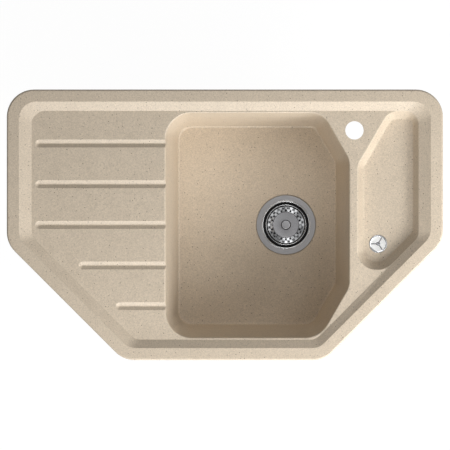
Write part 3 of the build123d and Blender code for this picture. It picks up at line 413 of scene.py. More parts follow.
def rounded(points):
    """A path through (radius, height, rounding) points, with an arc at each point that has a rounding."""
    path_points = []
    last = len(points) - 1
    for i, (x, y, radius) in enumerate(points):
        if i in (0, last) or not radius:
            path_points.append((x, y))
            continue
        before = Vector((points[i - 1][0] - x, points[i - 1][1] - y)).normalized()
        after = Vector((points[i + 1][0] - x, points[i + 1][1] - y)).normalized()
        half_turn = acos(max(-1.0, min(1.0, before.dot(after)))) / 2
        corner = Vector((x, y))
        middle = corner + (before + after).normalized() * (radius / sin(half_turn))
        start = corner + before * (radius / tan(half_turn)) - middle
        end = corner + after * (radius / tan(half_turn)) - middle
        sweep = atan2(start.x * end.y - start.y * end.x, start.dot(end))
        for step in range(ARC_STEPS + 1):
            turn = Matrix.Rotation(sweep * step / ARC_STEPS, 2)
            path_points.append(tuple(middle + turn @ start))
    return path_points


def turned_mesh(name, path_points, centre, material, steps=ROUND_STEPS):
    """A surface turned about the upright axis at centre."""
    vertices, faces, rings = [], [], []
    for radius, height in path_points:
        if radius < ON_AXIS:
            rings.append([len(vertices)] * steps)
            vertices.append((centre.x, centre.y, height))
            continue
        rings.append(list(range(len(vertices), len(vertices) + steps)))
        for step in range(steps):
            angle = tau * step / steps
            vertices.append((centre.x + radius * cos(angle), centre.y + radius * sin(angle), height))
    for upper, lower in zip(rings, rings[1:]):
        for step in range(steps):
            following = (step + 1) % steps
            corners = [upper[step], lower[step], lower[following], upper[following]]
            face = list(dict.fromkeys(corners))
            if len(face) > 2:
                faces.append(face)
    mesh = bpy.data.meshes.new(name)
    mesh.from_pydata(vertices, [], faces)
    mesh.materials.append(material)
    return mesh


def tidy_mesh(mesh, edge_angle=EDGE_ANGLE, outward=True, merge=0.0):
    """Joins doubled points, turns closed shapes' faces outwards and shades them smooth."""
    work = bmesh.new()
    work.from_mesh(mesh)
    if merge:
        bmesh.ops.remove_doubles(work, verts=work.verts, dist=merge)
    if outward:
        bmesh.ops.recalc_face_normals(work, faces=work.faces)
    for face in work.faces:
        face.smooth = True
    work.to_mesh(mesh)
    work.free()
    mesh.set_sharp_from_angle(angle=radians(edge_angle))
    return mesh


def placed(name, mesh):
    """A new object for a mesh whose points are already in place."""
    piece = bpy.data.objects.new(name, mesh)
    bpy.context.collection.objects.link(piece)
    return piece


def polar_place(tree, place, centre):
    """Coordinates that run round and out from an upright axis, for brushing that follows the turning."""
    moved = add_node(tree, "ShaderNodeMapping",
                     {"Vector": place, "Location": (-centre.x, -centre.y, 0.0)}).outputs[0]
    parts = add_node(tree, "ShaderNodeSeparateXYZ", {0: moved}).outputs
    level = add_node(tree, "ShaderNodeVectorMath", {0: moved, 1: (1.0, 1.0, 0.0)}, operation="MULTIPLY")
    radius = add_node(tree, "ShaderNodeVectorMath", {0: level.outputs[0]}, operation="LENGTH")
    angle = maths(tree, "ARCTAN2", parts["Y"], parts["X"])
    return add_node(tree, "ShaderNodeCombineXYZ",
                    {"X": maths(tree, "MULTIPLY", angle, LINE_STRETCH), "Y": radius.outputs["Value"],
                     "Z": parts["Z"]}).outputs[0]


def brushed_steel(name, centre, colour, roughness, relief):
    """Stainless steel with fine turned lines round an upright axis."""
    made, shader, place = new_material(name, Metallic=1.0)
    tree = made.node_tree
    lines = noise(tree, polar_place(tree, place, centre), LINE_SCALE, 3.0, 0.65)
    feed(shader, "Base Color", lines, [(0.3, shade(colour, 0.93)), (0.7, shade(colour, 1.06))])
    feed(shader, "Roughness", lines, [(0.3, roughness - 0.04), (0.7, roughness + 0.05)])
    emboss(shader, lines, relief, LINE_DEPTH)
    return made


def polished_steel(name, colour, roughness):
    """Steel without a grain, with faint water marks."""
    made, shader, place = new_material(name, Metallic=1.0)
    marks = noise(made.node_tree, place, 160.0, 5.0, 0.6)
    feed(shader, "Base Color", marks, [(0.35, shade(colour, 0.96)), (0.65, shade(colour, 1.03))])
    feed(shader, "Roughness", marks, [(0.35, roughness), (0.65, roughness + 0.06)])
    return made


satin_steel = brushed_steel("satin_steel", drain, (0.392, 0.383, 0.384), 0.34, 0.5)
bright_steel = polished_steel("bright_steel", (0.66, 0.67, 0.68), 0.10)
# painted shade: the steep walls get near-black matt steel that stands in for the shade and dark reflections
# deep in the waste
shade_painted_steel = polished_steel("shade_painted_steel", (0.055, 0.055, 0.058), 0.50)


def copies_round(name, piece, count, phase, centre, material):
    """Copies of a piece set round the upright axis at the origin, joined and moved to their centre."""
    group = bpy.data.node_groups.new(name, "GeometryNodeTree")
    sockets = group.interface
    sockets.new_socket("Geometry", in_out="INPUT", socket_type="NodeSocketGeometry")
    settings = {}
    for label, kind, value in (("Count", "NodeSocketInt", count), ("Phase", "NodeSocketFloat", phase),
                               ("Centre", "NodeSocketVector", centre)):
        socket = sockets.new_socket(label, in_out="INPUT", socket_type=kind)
        settings[socket.identifier] = value
    sockets.new_socket("Geometry", in_out="OUTPUT", socket_type="NodeSocketGeometry")
    given = add_node(group, "NodeGroupInput").outputs
    index = add_node(group, "GeometryNodeInputIndex").outputs[0]
    step = maths(group, "DIVIDE", tau, given["Count"])
    angle = maths(group, "MULTIPLY_ADD", index, step, given["Phase"])
    turn = add_node(group, "ShaderNodeCombineXYZ", {"Z": angle}).outputs[0]
    points = add_node(group, "GeometryNodePoints", {"Count": given["Count"]}).outputs[0]
    copies = add_node(group, "GeometryNodeInstanceOnPoints",
                      {"Points": points, "Instance": given["Geometry"], "Rotation": turn}).outputs[0]
    solid = add_node(group, "GeometryNodeRealizeInstances", {0: copies}).outputs[0]
    joined = add_node(group, "GeometryNodeMergeByDistance",
                      {"Geometry": solid, "Distance": SAME_POINT}).outputs[0]
    moved = add_node(group, "GeometryNodeTransform",
                     {"Geometry": joined, "Translation": given["Centre"]}).outputs[0]
    dressed = add_node(group, "GeometryNodeSetMaterial", {"Geometry": moved, "Material": material})
    group.links.new(dressed.outputs[0], add_node(group, "NodeGroupOutput").inputs[0])
    modifier = piece.modifiers.new(name, "NODES")
    modifier.node_group = group
    for identifier, value in settings.items():
        modifier[identifier] = value
    return settled(piece)


neck_in = NECK_WALL_RADIUS - SHEET
cup_in = NECK_WALL_RADIUS - CUP_STEP - SHEET
flange_path = rounded([
    (flange_radius - FLANGE_EDGE, flange_top - FLANGE_DEPTH, 0),
    (flange_radius, flange_top - FLANGE_DEPTH, UNDERSIDE_ROUND),
    (flange_radius, flange_top - FLANGE_FALL, FLANGE_ROUND),
    (neck_in + BEAD_WIDTH + BEAD_FOOT, flange_top - BEAD_RISE, BEAD_FOOT_ROUND),
    (neck_in + BEAD_WIDTH, flange_top, BEAD_ROUND),
    (neck_in, flange_top, MOUTH_ROUND),
    (neck_in, flange_top - NECK_DROP, NECK_BEND),
    (cup_in, flange_top - SEAT_DROP, NECK_BEND),
    (cup_in, cup_bottom + SHEET, CUP_BEND),
    (cup_in - CUP_FLOOR_EDGE, cup_bottom + SHEET, 0),
    (cup_in - CUP_FLOOR_EDGE, cup_bottom, 0),
    (cup_in + SHEET, cup_bottom, CUP_OUTER_BEND),
    (cup_in + SHEET, flange_top - SEAT_DROP, NECK_OUTER_BEND),
    (NECK_WALL_RADIUS, flange_top - NECK_DROP, NECK_OUTER_BEND),
    (NECK_WALL_RADIUS, flange_top - FLANGE_DEPTH, 0),
    (flange_radius - FLANGE_EDGE, flange_top - FLANGE_DEPTH, 0),
])
flange = placed("waste_flange", tidy_mesh(
    turned_mesh("waste_flange", flange_path, drain, satin_steel), merge=SAME_POINT))
flange.data.materials.append(bright_steel)
flange.data.materials.append(shade_painted_steel)
SATIN, BRIGHT, SHADE_PAINTED = range(3)
for face in flange.data.polygons:
    out = hypot(face.center.x - drain.x, face.center.y - drain.y)
    face.material_index = SATIN
    # painted shade: the steep faces of the neck below the bead get near-black steel
    if out < neck_in + BEAD_WIDTH / 2 and abs(face.normal.z) < STEEP:
        face.material_index = SHADE_PAINTED
    elif out < neck_in + BEAD_WIDTH + POLISHED_PAST_BEAD:
        face.material_index = BRIGHT
fitted(flange, "sink", "stainless", "strainer_flange")

# the slotted floor: one spoke, copied round, so that the inner ends meet as the hub of the centre screw
spoke_mesh = bpy.data.meshes.new("cup_spoke")
work = bmesh.new()
bmesh.ops.create_cube(work, size=1.0)
spoke_length = cup_in - CUP_FLOOR_EDGE + SPOKE_BITE - CUP_HUB / 2
bmesh.ops.scale(work, verts=work.verts, vec=(spoke_length, CUP_SPOKE, SHEET))
bmesh.ops.translate(work, verts=work.verts, vec=(CUP_HUB / 2 + spoke_length / 2, 0.0, SHEET / 2))
bmesh.ops.bevel(work, geom=work.edges, offset=CUP_SPOKE_ROUND, segments=2, affect="EDGES")
work.to_mesh(spoke_mesh)
work.free()
spokes = copies_round("cup_floor", placed("cup_floor", spoke_mesh), CUP_SLOTS, 0.0,
                      (drain.x, drain.y, cup_bottom), bright_steel)
fitted(spokes, "sink", "stainless", "strainer_flange")


# ---------------------------------------------------------------- strainer basket
# Deep-drawn stainless basket with a rolled lip. Its wall steps in twice: each step is a polished sloping
# band, pierced by a row of openings, with steep walls between in near-black painted shade, down to a flat
# satin floor.
BASKET_SECTORS = 20
SECTOR_SIDE = 8
SECTOR_RINGS = (0.0, 0.5, 0.85, 1.0)
BASKET_SHEET = 0.7 * MM
BASKET_EDGE_ANGLE = 40.0
LIP_WIDTH, LIP_DROP, LIP_RETURN = 1.4 * MM, 2.0 * MM, 0.5 * MM
LIP_ROUND, LIP_CURL = 0.68 * MM, 0.4 * MM
SHOULDER_STEP, SHOULDER_DROP = 2.6 * MM, 11.5 * MM
SLOT_BAND_IN, SLOT_BAND_DROP = 4.4 * MM, 1.4 * MM
LOWER_WALL_IN, LOWER_WALL_DROP = 0.7 * MM, 15.5 * MM
HOLE_BAND_IN, HOLE_BAND_DROP = 4.6 * MM, 1.5 * MM
SLOT_WIDTH, SLOT_LENGTH = 5.3 * MM, 4.2 * MM
HOLE_WIDTH, HOLE_LENGTH = 3.9 * MM, 3.8 * MM
OPENING_SQUARENESS = 5.0
BASKET_FLOOR_DROP, FLOOR_MARGIN = 32.0 * MM, 0.6 * MM
FLOOR_CORNER, FLOOR_BEND = 0.7 * MM, 0.6 * MM
STEM_HOLE = 2.6 * MM
FLOOR_RING_IN, FLOOR_RING_OUT, FLOOR_RING_DEPTH = 8.3 * MM, 9.5 * MM, 0.9 * MM
FLOOR_LEVELNESS = 0.9
SAME_SEAM = 0.02 * MM

band_steel = polished_steel("band_steel", (0.36, 0.364, 0.37), 0.16)
floor_steel = brushed_steel("floor_steel", drain, (0.50, 0.495, 0.508), 0.30, 0.4)

basket_low, basket_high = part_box("strainer_basket")
basket_top = basket_high.z
lip_radius = (basket_high.x - basket_low.x) / 2
shoulder = Vector((lip_radius - LIP_WIDTH - SHOULDER_STEP, basket_top - SHOULDER_DROP))
slot_band_end = shoulder - Vector((SLOT_BAND_IN, SLOT_BAND_DROP))
hole_band_start = slot_band_end - Vector((LOWER_WALL_IN, LOWER_WALL_DROP))
hole_band_end = hole_band_start - Vector((HOLE_BAND_IN, HOLE_BAND_DROP))
floor_level = basket_top - BASKET_FLOOR_DROP


def reach(across, along, half_width, half_length):
    """How far an opening with round corners reaches from its middle this way, as a share of the way."""
    power = OPENING_SQUARENESS
    return (abs(across / half_width) ** power + abs(along / half_length) ** power) ** (-1 / power)


def pierced_sector(name, top, bottom, width, opening_length):
    """One sector of a sloping band from its top to its bottom, with an opening in its middle."""
    slope = bottom - top
    half_angle = pi / BASKET_SECTORS
    sides = (((-1, 0), (1, 0)), ((1, 0), (1, 1)), ((1, 1), (-1, 1)), ((-1, 1), (-1, 0)))
    border = []
    for start, end in sides:
        for step in range(SECTOR_SIDE):
            share = step / SECTOR_SIDE
            border.append((start[0] + (end[0] - start[0]) * share, start[1] + (end[1] - start[1]) * share))
    vertices = []
    for ring_share in SECTOR_RINGS:
        for across, depth in border:
            edge_radius = (top + slope * depth).x
            dx = across * half_angle * edge_radius
            dy = (depth - 0.5) * slope.length
            scale = 1.0 + (reach(dx, dy, width / 2, opening_length / 2) - 1.0) * ring_share
            spot = top + slope * (0.5 + (depth - 0.5) * scale)
            # the straight sides of the opening stay parallel down the band
            angle = across * half_angle * scale * (1.0 + (edge_radius / spot.x - 1.0) * ring_share)
            vertices.append((spot.x * cos(angle), spot.x * sin(angle), spot.y))
    count = len(border)
    faces = []
    for ring in range(len(SECTOR_RINGS) - 1):
        for i in range(count):
            following = (i + 1) % count
            faces.append((ring * count + i, ring * count + following, (ring + 1) * count + following,
                          (ring + 1) * count + i))
    mesh = bpy.data.meshes.new(name)
    mesh.from_pydata(vertices, [], faces)
    return placed(name, mesh)


slot_row = copies_round(
    "slot_row", pierced_sector("slot_row", shoulder, slot_band_end, SLOT_WIDTH, SLOT_LENGTH),
    BASKET_SECTORS, pi / BASKET_SECTORS, (*drain.xy, 0.0), band_steel)
hole_row = copies_round(
    "hole_row", pierced_sector("hole_row", hole_band_start, hole_band_end, HOLE_WIDTH, HOLE_LENGTH),
    BASKET_SECTORS, 0.0, (*drain.xy, 0.0), band_steel)
lip_path = rounded([
    (lip_radius - LIP_RETURN, basket_top - LIP_DROP, 0),
    (lip_radius, basket_top - LIP_DROP, LIP_CURL),
    (lip_radius, basket_top, LIP_ROUND),
    (lip_radius - LIP_WIDTH, basket_top, LIP_ROUND),
    (shoulder.x, shoulder.y, 0),
])
wall_path = [tuple(slot_band_end), tuple(hole_band_start)]
floor_path = rounded([
    (hole_band_end.x, hole_band_end.y, 0),
    (hole_band_end.x - FLOOR_CORNER, floor_level, FLOOR_BEND),
    (FLOOR_RING_OUT, floor_level, 0),
    ((FLOOR_RING_IN + FLOOR_RING_OUT) / 2, floor_level - FLOOR_RING_DEPTH, 0),
    (FLOOR_RING_IN, floor_level, 0),
    (STEM_HOLE, floor_level, 0),
])
work = bmesh.new()
basket_steps = BASKET_SECTORS * SECTOR_SIDE
for mesh in (turned_mesh("lip", lip_path, drain, bright_steel, basket_steps),
             slot_row.data,
             turned_mesh("wall", wall_path, drain, shade_painted_steel, basket_steps),
             hole_row.data,
             turned_mesh("floor", floor_path, drain, floor_steel, basket_steps)):
    work.from_mesh(mesh)
bmesh.ops.remove_doubles(work, verts=work.verts, dist=SAME_SEAM)
bmesh.ops.recalc_face_normals(work, faces=work.faces)
floor_face = min(work.faces, key=lambda f: abs(f.calc_center_median().z - floor_level) - f.calc_area())
if floor_face.normal.z < 0:
    bmesh.ops.reverse_faces(work, faces=work.faces)
# each face gets the steel of its place inside; outside, the sheet is plain floor steel all over
inside_steels = (bright_steel, shade_painted_steel, floor_steel, band_steel)
LIP, WALL, FLOOR, BAND = range(len(inside_steels))
for face in work.faces:
    out = (face.calc_center_median().xy - drain.xy).length
    face.smooth = True
    face.material_index = LIP
    # painted shade: steep faces inside the basket get near-black steel
    if abs(face.normal.z) < STEEP and out < lip_radius - LIP_ROUND:
        face.material_index = WALL
    elif out < hole_band_end.x - FLOOR_MARGIN:
        face.material_index = WALL if abs(face.normal.z) < FLOOR_LEVELNESS else FLOOR
    elif out < shoulder.x:
        face.material_index = BAND
basket_mesh = bpy.data.meshes.new("basket_shell")
work.to_mesh(basket_mesh)
work.free()
for steel in inside_steels + (floor_steel,) * len(inside_steels):
    basket_mesh.materials.append(steel)
for row in (slot_row, hole_row):
    bpy.data.objects.remove(row)
basket = placed("basket_shell", basket_mesh)
wall = basket.modifiers.new("sheet", "SOLIDIFY")
wall.thickness = BASKET_SHEET
wall.offset = -1.0
wall.material_offset = len(inside_steels)
settled(basket)
basket.data.set_sharp_from_angle(angle=radians(BASKET_EDGE_ANGLE))
fitted(basket, "basket", "stainless", "strainer_basket")


# ---------------------------------------------------------------- basket ring
# A black rubber ring, stretched over the basket's wall below its lip. It closes the waste when the basket
# is pushed down onto the flange's sloping seat.
RING_LEAD, RING_LEAD_RISE = 2.2 * MM, 2.6 * MM
RING_GROOVE, RING_GROOVE_RISE, RING_RIB_RISE = 0.5 * MM, 4.4 * MM, 5.6 * MM
RING_INNER_ROUND, RING_OUTER_ROUND, RING_LEAD_ROUND = 0.4 * MM, 1.2 * MM, 1.0 * MM
RING_GROOVE_ROUND, RING_RIB_ROUND = 0.4 * MM, 0.6 * MM
WALL_CLEARANCE = 0.1 * MM


def black_rubber():
    """Smooth dark rubber with a faint bloom."""
    made, shader, place = new_material("black_rubber", Specular_IOR_Level=0.22)
    bloom = noise(made.node_tree, place, 120.0, 4.0)
    feed(shader, "Base Color", bloom, [(0.35, 0.003), (0.7, 0.008)])
    feed(shader, "Roughness", bloom, [(0.35, 0.48), (0.7, 0.62)])
    return made


rubber = black_rubber()
seal_low, seal_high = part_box("basket_seal")
seal_radius = (seal_high.x - seal_low.x) / 2
seal_middle = (seal_low.z + seal_high.z) / 2


def basket_wall_at(height):
    """Radius of the basket's outside at this height, between its shoulder and its lip."""
    share = (height - shoulder.y) / SHOULDER_DROP
    return shoulder.x + share * SHOULDER_STEP + BASKET_SHEET + WALL_CLEARANCE


ring_path = rounded([
    (basket_wall_at(seal_low.z), seal_middle, 0),
    (basket_wall_at(seal_low.z), seal_low.z, RING_INNER_ROUND),
    (seal_radius - RING_LEAD, seal_low.z, RING_LEAD_ROUND),
    (seal_radius, seal_low.z + RING_LEAD_RISE, RING_OUTER_ROUND),
    (seal_radius - RING_GROOVE, seal_low.z + RING_GROOVE_RISE, RING_GROOVE_ROUND),
    (seal_radius, seal_low.z + RING_RIB_RISE, RING_RIB_ROUND),
    (seal_radius, seal_high.z, RING_OUTER_ROUND),
    (basket_wall_at(seal_high.z), seal_high.z, RING_INNER_ROUND),
    (basket_wall_at(seal_low.z), seal_middle, 0),
])
ring = placed("basket_ring", tidy_mesh(turned_mesh("basket_ring", ring_path, drain, rubber),
                                       merge=SAME_POINT))
fitted(ring, "basket", "black_rubber", "basket_seal")


# ---------------------------------------------------------------- basket knob and its nut
# A turned steel knob, by which the basket is lifted. Its stem goes through the basket's floor and is held
# below by a small hexagon nut.
KNOB_HEIGHT, KNOB_RIM = 6.0 * MM, 2.6 * MM
STEM_RADIUS, STEM_END_RADIUS, STEM_CHAMFER = 3.5 * MM, 2.5 * MM, 0.4 * MM
KNOB_TOP_ROUND, KNOB_RIM_ROUND, KNOB_NECK_ROUND = 0.6 * MM, 1.0 * MM, 1.5 * MM
KNOB_STEPS = 64
NEARLY_FLAT = 1.0
SMALL_NUT_EDGE = 0.25 * MM

knob_low, knob_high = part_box("basket_knob")
knob_radius = (knob_high.x - knob_low.x) / 2
knob_path = rounded([
    (0.0, knob_high.z, 0),
    (knob_radius, knob_high.z, KNOB_TOP_ROUND),
    (knob_radius, knob_high.z - KNOB_RIM, KNOB_RIM_ROUND),
    (STEM_RADIUS, knob_high.z - KNOB_HEIGHT, KNOB_NECK_ROUND),
    (STEM_RADIUS, floor_level, 0),
    (STEM_END_RADIUS, floor_level, 0),
    (STEM_END_RADIUS, knob_low.z + STEM_CHAMFER, 0),
    (STEM_END_RADIUS - STEM_CHAMFER, knob_low.z, 0),
    (0.0, knob_low.z, 0),
])
knob = placed("knob", tidy_mesh(turned_mesh("knob", knob_path, drain, floor_steel, KNOB_STEPS)))
fitted(knob, "basket", "stainless", "basket_knob")


def softened_copy(node, name, material, width):
    """A moulded copy whose edges are broken by a small round."""
    piece = moulded_copy(node, name, material)
    piece.modifiers.clear()
    work = bmesh.new()
    work.from_mesh(piece.data)
    bmesh.ops.dissolve_limit(work, angle_limit=radians(NEARLY_FLAT), verts=work.verts, edges=work.edges)
    work.to_mesh(piece.data)
    work.free()
    edge = piece.modifiers.new("edges", "BEVEL")
    edge.width = width
    edge.segments = 2
    edge.limit_method = "ANGLE"
    edge.angle_limit = radians(EDGE_ANGLE)
    edge.harden_normals = True
    return settled(piece)


knob_nut = softened_copy("knob_nut", "knob_hexagon", bright_steel, SMALL_NUT_EDGE)
fitted(knob_nut, "basket", "stainless", "knob_nut")


# ---------------------------------------------------------------- centre screw, brass insert and gaskets
# A slotted steel screw pulls the waste body up against the bowl; it bites in a brass insert, and flat
# rubber gaskets lie above and below the bowl's floor.
CENTRE_SCREW_EDGE = 0.3 * MM

centre_screw = softened_copy("centre_screw", "centre_bolt", bright_steel, CENTRE_SCREW_EDGE)
fitted(centre_screw, "sink", "stainless", "centre_screw")


def turned_brass():
    """Turned brass, slightly dulled."""
    made, shader, place = new_material("turned_brass", Metallic=1.0)
    tarnish = noise(made.node_tree, place, 240.0, 4.0)
    feed(shader, "Base Color", tarnish, [(0.3, (0.50, 0.34, 0.13)), (0.7, (0.72, 0.53, 0.24))])
    feed(shader, "Roughness", tarnish, [(0.3, 0.38), (0.7, 0.26)])
    return made


brass = turned_brass()
finished("waste_insert", brass)
for gasket in ("flange_seal", "body_seal"):
    finished(gasket, rubber)


# ---------------------------------------------------------------- waste body
# Moulded white polypropylene: a funnel under the bowl with a flange, a branch for the overflow pipe and a
# threaded tail for the trap.
OUTLET_RADIUS, OUTLET_LENGTH = 23.9 * MM, 30.0 * MM
OUTLET_SKIN, OUTLET_SHOULDER = 0.2 * MM, 3.0 * MM
THREAD_PITCH, THREAD_DEPTH, THREAD_BITE = 2.3 * MM, 1.1 * MM, 0.05 * MM
THREAD_LEAD = 2.0 * MM
FLANK_SLOPE, ROOT_SHARE = 1.6, 0.3
THREAD_AROUND, THREAD_ALONG = 64, 8
THREAD_EDGE_ANGLE = 60.0
SKIN_DEPTH = 0.05 * MM


def moulded_plastic(name, colour, roughness):
    """Moulded plastic with a faint orange-peel skin and slight cloudiness."""
    made, shader, place = new_material(name)
    skin = noise(made.node_tree, place, 700.0, 2.0)
    haze = noise(made.node_tree, place, 28.0, 2.0)
    feed(shader, "Base Color", haze, [(0.3, shade(colour, 0.95)), (0.7, colour)])
    feed(shader, "Roughness", haze, [(0.3, roughness), (0.7, roughness + 0.08)])
    emboss(shader, skin, 0.2, SKIN_DEPTH)
    return made


white_plastic = moulded_plastic("white_plastic", (0.66, 0.66, 0.64), 0.36)
outlet_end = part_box("waste_body")[0].z
outlet_top = outlet_end + OUTLET_LENGTH
waste = moulded_copy("waste_body", "waste_funnel", white_plastic)
# the tail is drawn in to the root of its thread, which is a piece of its own
for vertex in waste.data.vertices:
    from_axis = vertex.co.xy - drain.xy
    if vertex.co.z < outlet_top + OUTLET_SHOULDER and from_axis.length > OUTLET_RADIUS - OUTLET_SKIN:
        drawn = from_axis.normalized() * (OUTLET_RADIUS - THREAD_DEPTH)
        vertex.co.x, vertex.co.y = drain.x + drawn.x, drain.y + drawn.y
settled(waste)
fitted(waste, "sink", "white_plastic", "waste_body")


def thread_mesh(name, low, high, centre, material):
    """The outlet's helical thread, which fades out at each end."""
    depth = THREAD_DEPTH + THREAD_BITE
    vertices, faces = [], []
    rows = ceil((high - low) / THREAD_PITCH * THREAD_ALONG)
    for row in range(rows + 1):
        height = low + (high - low) * row / rows
        ease = min(1.0, (height - low) / THREAD_PITCH, (high - height) / THREAD_PITCH)
        for step in range(THREAD_AROUND):
            turns = height / THREAD_PITCH - step / THREAD_AROUND
            crest = abs((turns % 1.0) * 2.0 - 1.0)
            rise = max(0.0, min(1.0, crest * FLANK_SLOPE - ROOT_SHARE))
            out = OUTLET_RADIUS - depth + depth * ease * rise
            angle = tau * step / THREAD_AROUND
            vertices.append((centre.x + out * cos(angle), centre.y + out * sin(angle), height))
    for row in range(rows):
        lower, upper = row * THREAD_AROUND, (row + 1) * THREAD_AROUND
        for step in range(THREAD_AROUND):
            following = (step + 1) % THREAD_AROUND
            faces.append((lower + step, lower + following, upper + following, upper + step))
    mesh = bpy.data.meshes.new(name)
    mesh.from_pydata(vertices, [], faces)
    mesh.materials.append(material)
    return mesh


outlet_thread = placed("outlet_thread", tidy_mesh(
    thread_mesh("outlet_thread", outlet_end + THREAD_LEAD, outlet_top, drain, white_plastic),
    edge_angle=THREAD_EDGE_ANGLE, outward=False))
fitted(outlet_thread, "sink", "white_plastic")


# ---------------------------------------------------------------- overflow grille and its screw
# A chromed brass ring with three flat spokes and a hub; the screw through the hub holds it to the
# overflow head below the trough.
SPOKE_ANGLES = (180.0, 60.0, -55.0)
GRILLE_OPENING, GRILLE_SPIGOT, GRILLE_PLATE = 13.8 * MM, 15.2 * MM, 2.0 * MM
MOUTH_SLOPE, MOUTH_FALL = 1.4 * MM, 0.3 * MM
BRIM_SLOPE, BRIM_FALL = 0.9 * MM, 1.1 * MM
GRILLE_ROUND, BRIM_ROUND = 0.8 * MM, 0.5 * MM
HUB_RADIUS, HUB_BORE, HUB_ROUND = 4.5 * MM, 2.1 * MM, 0.5 * MM
SPOKE_START, SPOKE_ROUND = 3.6 * MM, 0.45 * MM
SPOKE_WIDTH, SPOKE_THICKNESS = 2.6 * MM, 1.5 * MM
GRILLE_SCREW_EDGE = 0.25 * MM
GRILLE_STEPS, HUB_STEPS = 96, 48

grille_low, grille_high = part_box("overflow_grille")
overflow = Vector(((grille_low.x + grille_high.x) / 2, (grille_low.y + grille_high.y) / 2, 0.0))
grille_radius = (grille_high.x - grille_low.x) / 2
chrome = polished_steel("bright_chrome", (0.70, 0.71, 0.73), 0.07)
plate_low = grille_high.z - GRILLE_PLATE
grille_path = rounded([
    (GRILLE_OPENING, grille_low.z, 0),
    (GRILLE_OPENING, grille_high.z - MOUTH_FALL, GRILLE_ROUND),
    (GRILLE_OPENING + MOUTH_SLOPE, grille_high.z, GRILLE_ROUND),
    (grille_radius - BRIM_SLOPE, grille_high.z, GRILLE_ROUND),
    (grille_radius, grille_high.z - BRIM_FALL, BRIM_ROUND),
    (grille_radius, plate_low, 0),
    (GRILLE_SPIGOT, plate_low, 0),
    (GRILLE_SPIGOT, grille_low.z, 0),
    (GRILLE_OPENING, grille_low.z, 0),
])
hub_path = rounded([
    (HUB_BORE, plate_low, 0),
    (HUB_BORE, plate_low + SPOKE_THICKNESS, 0),
    (HUB_RADIUS, plate_low + SPOKE_THICKNESS, HUB_ROUND),
    (HUB_RADIUS, plate_low, 0),
    (HUB_BORE, plate_low, 0),
])
spoke_length = GRILLE_OPENING + SPOKE_BITE - SPOKE_START
work = bmesh.new()
work.from_mesh(turned_mesh("grille", grille_path, overflow, chrome, GRILLE_STEPS))
work.from_mesh(turned_mesh("hub", hub_path, overflow, chrome, HUB_STEPS))
for angle in SPOKE_ANGLES:
    corners = bmesh.ops.create_cube(work, size=1.0)["verts"]
    bmesh.ops.scale(work, verts=corners, vec=(spoke_length, SPOKE_WIDTH, SPOKE_THICKNESS))
    long_edges = {edge for vertex in corners for edge in vertex.link_edges
                  if abs(edge.verts[0].co.x - edge.verts[1].co.x) > spoke_length / 2}
    rounds = bmesh.ops.bevel(work, geom=list(long_edges), offset=SPOKE_ROUND, segments=3,
                             affect="EDGES")["verts"]
    spoke = list(set(rounds) | {vertex for vertex in corners if vertex.is_valid})
    bmesh.ops.translate(work, verts=spoke,
                        vec=(SPOKE_START + spoke_length / 2, 0.0, SPOKE_THICKNESS / 2))
    bmesh.ops.rotate(work, verts=spoke, matrix=Matrix.Rotation(radians(angle), 3, "Z"))
    bmesh.ops.translate(work, verts=spoke, vec=(overflow.x, overflow.y, plate_low))
grille_mesh = bpy.data.meshes.new("overflow_ring")
work.to_mesh(grille_mesh)
work.free()
grille_mesh.materials.append(chrome)
grille = placed("overflow_ring", tidy_mesh(grille_mesh, merge=SAME_POINT))
fitted(grille, "sink", "chrome", "overflow_grille")

overflow_screw = softened_copy("overflow_screw", "overflow_bolt", bright_steel, GRILLE_SCREW_EDGE)
fitted(overflow_screw, "sink", "stainless", "overflow_screw")


# ---------------------------------------------------------------- overflow head and pipe
# Below the trough a moulded white cup catches the overflow, on a rubber gasket; a rigid pipe with a slip
# nut at each end leads it down to the waste body. The cup's inside has a painted glow: a lighter plastic
# that emits light.
CUP_INSIDE = 25.5 * MM
CUP_GLOW = 0.5
FACING_UP = 0.5
SLIP_NUT_EDGE = 0.4 * MM

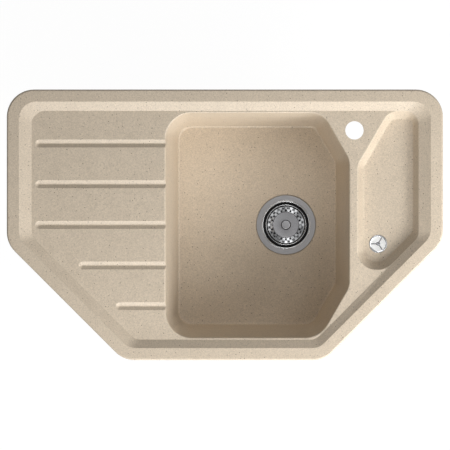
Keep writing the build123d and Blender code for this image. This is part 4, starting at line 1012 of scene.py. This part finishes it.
finished("overflow_insert", brass)
finished("overflow_seal", rubber)
head = settled(moulded_copy("overflow_head", "overflow_cup", white_plastic))
# painted glow: the cup's inside is a lighter white that emits light of its own, though no lamp is there
glow_painted_plastic = moulded_plastic("glow_painted_plastic", (0.85, 0.85, 0.84), 0.36)
glow_painted_shader = glow_painted_plastic.node_tree.nodes["Principled BSDF"]
glow_painted_shader.inputs["Emission Color"].default_value = (1.0, 1.0, 0.99, 1.0)
glow_painted_shader.inputs["Emission Strength"].default_value = CUP_GLOW
head.data.materials.append(glow_painted_plastic)
# faces inside the cup get the painted glow
for face in head.data.polygons:
    inward = overflow.xy - face.center.xy
    if inward.length < CUP_INSIDE and (face.normal.z > FACING_UP or face.normal.xy.dot(inward) > 0.0):
        face.material_index = 1
fitted(head, "sink", "white_plastic", "overflow_head")
pipe = settled(moulded_copy("overflow_pipe", "overflow_tube", white_plastic))
fitted(pipe, "sink", "white_plastic", "overflow_pipe")

grey_rubber = moulded_plastic("grey_rubber", (0.16, 0.16, 0.165), 0.55)
for end in ("head", "branch"):
    finished(f"{end}_cone", grey_rubber)
    nut = softened_copy(f"{end}_nut", f"{end}_slip_nut", white_plastic, SLIP_NUT_EDGE)
    fitted(nut, "sink", "white_plastic", f"{end}_nut")


# ---------------------------------------------------------------- worktop clips
# Seven pressed steel arms, each on its own hexagon screw in a brass insert below the rim, pull the rim
# down onto the worktop. All the steel is zinc-plated.
CLIP_SCREW_EDGE, CLIP_ARM_EDGE = 0.35 * MM, 0.4 * MM


def zinc_plate():
    """Zinc-plated steel with the pale spangle of its passivation."""
    made, shader, place = new_material("zinc_plate", Metallic=1.0)
    spangle = noise(made.node_tree, place, 170.0, 5.0, 0.7)
    feed(shader, "Base Color", spangle, [(0.3, (0.46, 0.47, 0.46)), (0.55, (0.58, 0.58, 0.56)),
                                         (0.75, (0.64, 0.62, 0.55))])
    feed(shader, "Roughness", spangle, [(0.3, 0.34), (0.7, 0.46)])
    return made


zinc = zinc_plate()
finished("clip_inserts", brass)
screws = softened_copy("clip_screws", "clip_bolts", zinc, CLIP_SCREW_EDGE)
fitted(screws, "sink", "zinc_steel", "clip_screws")
clamp_bodies = [name for name in frame["bodies"] if name.startswith("clamp_")]
for number, body in enumerate(sorted(clamp_bodies), start=1):
    arm = softened_copy(f"clip_arm_{number}", f"clamp_plate_{number}", zinc, CLIP_ARM_EDGE)
    fitted(arm, body, "zinc_steel", f"clip_arm_{number}")
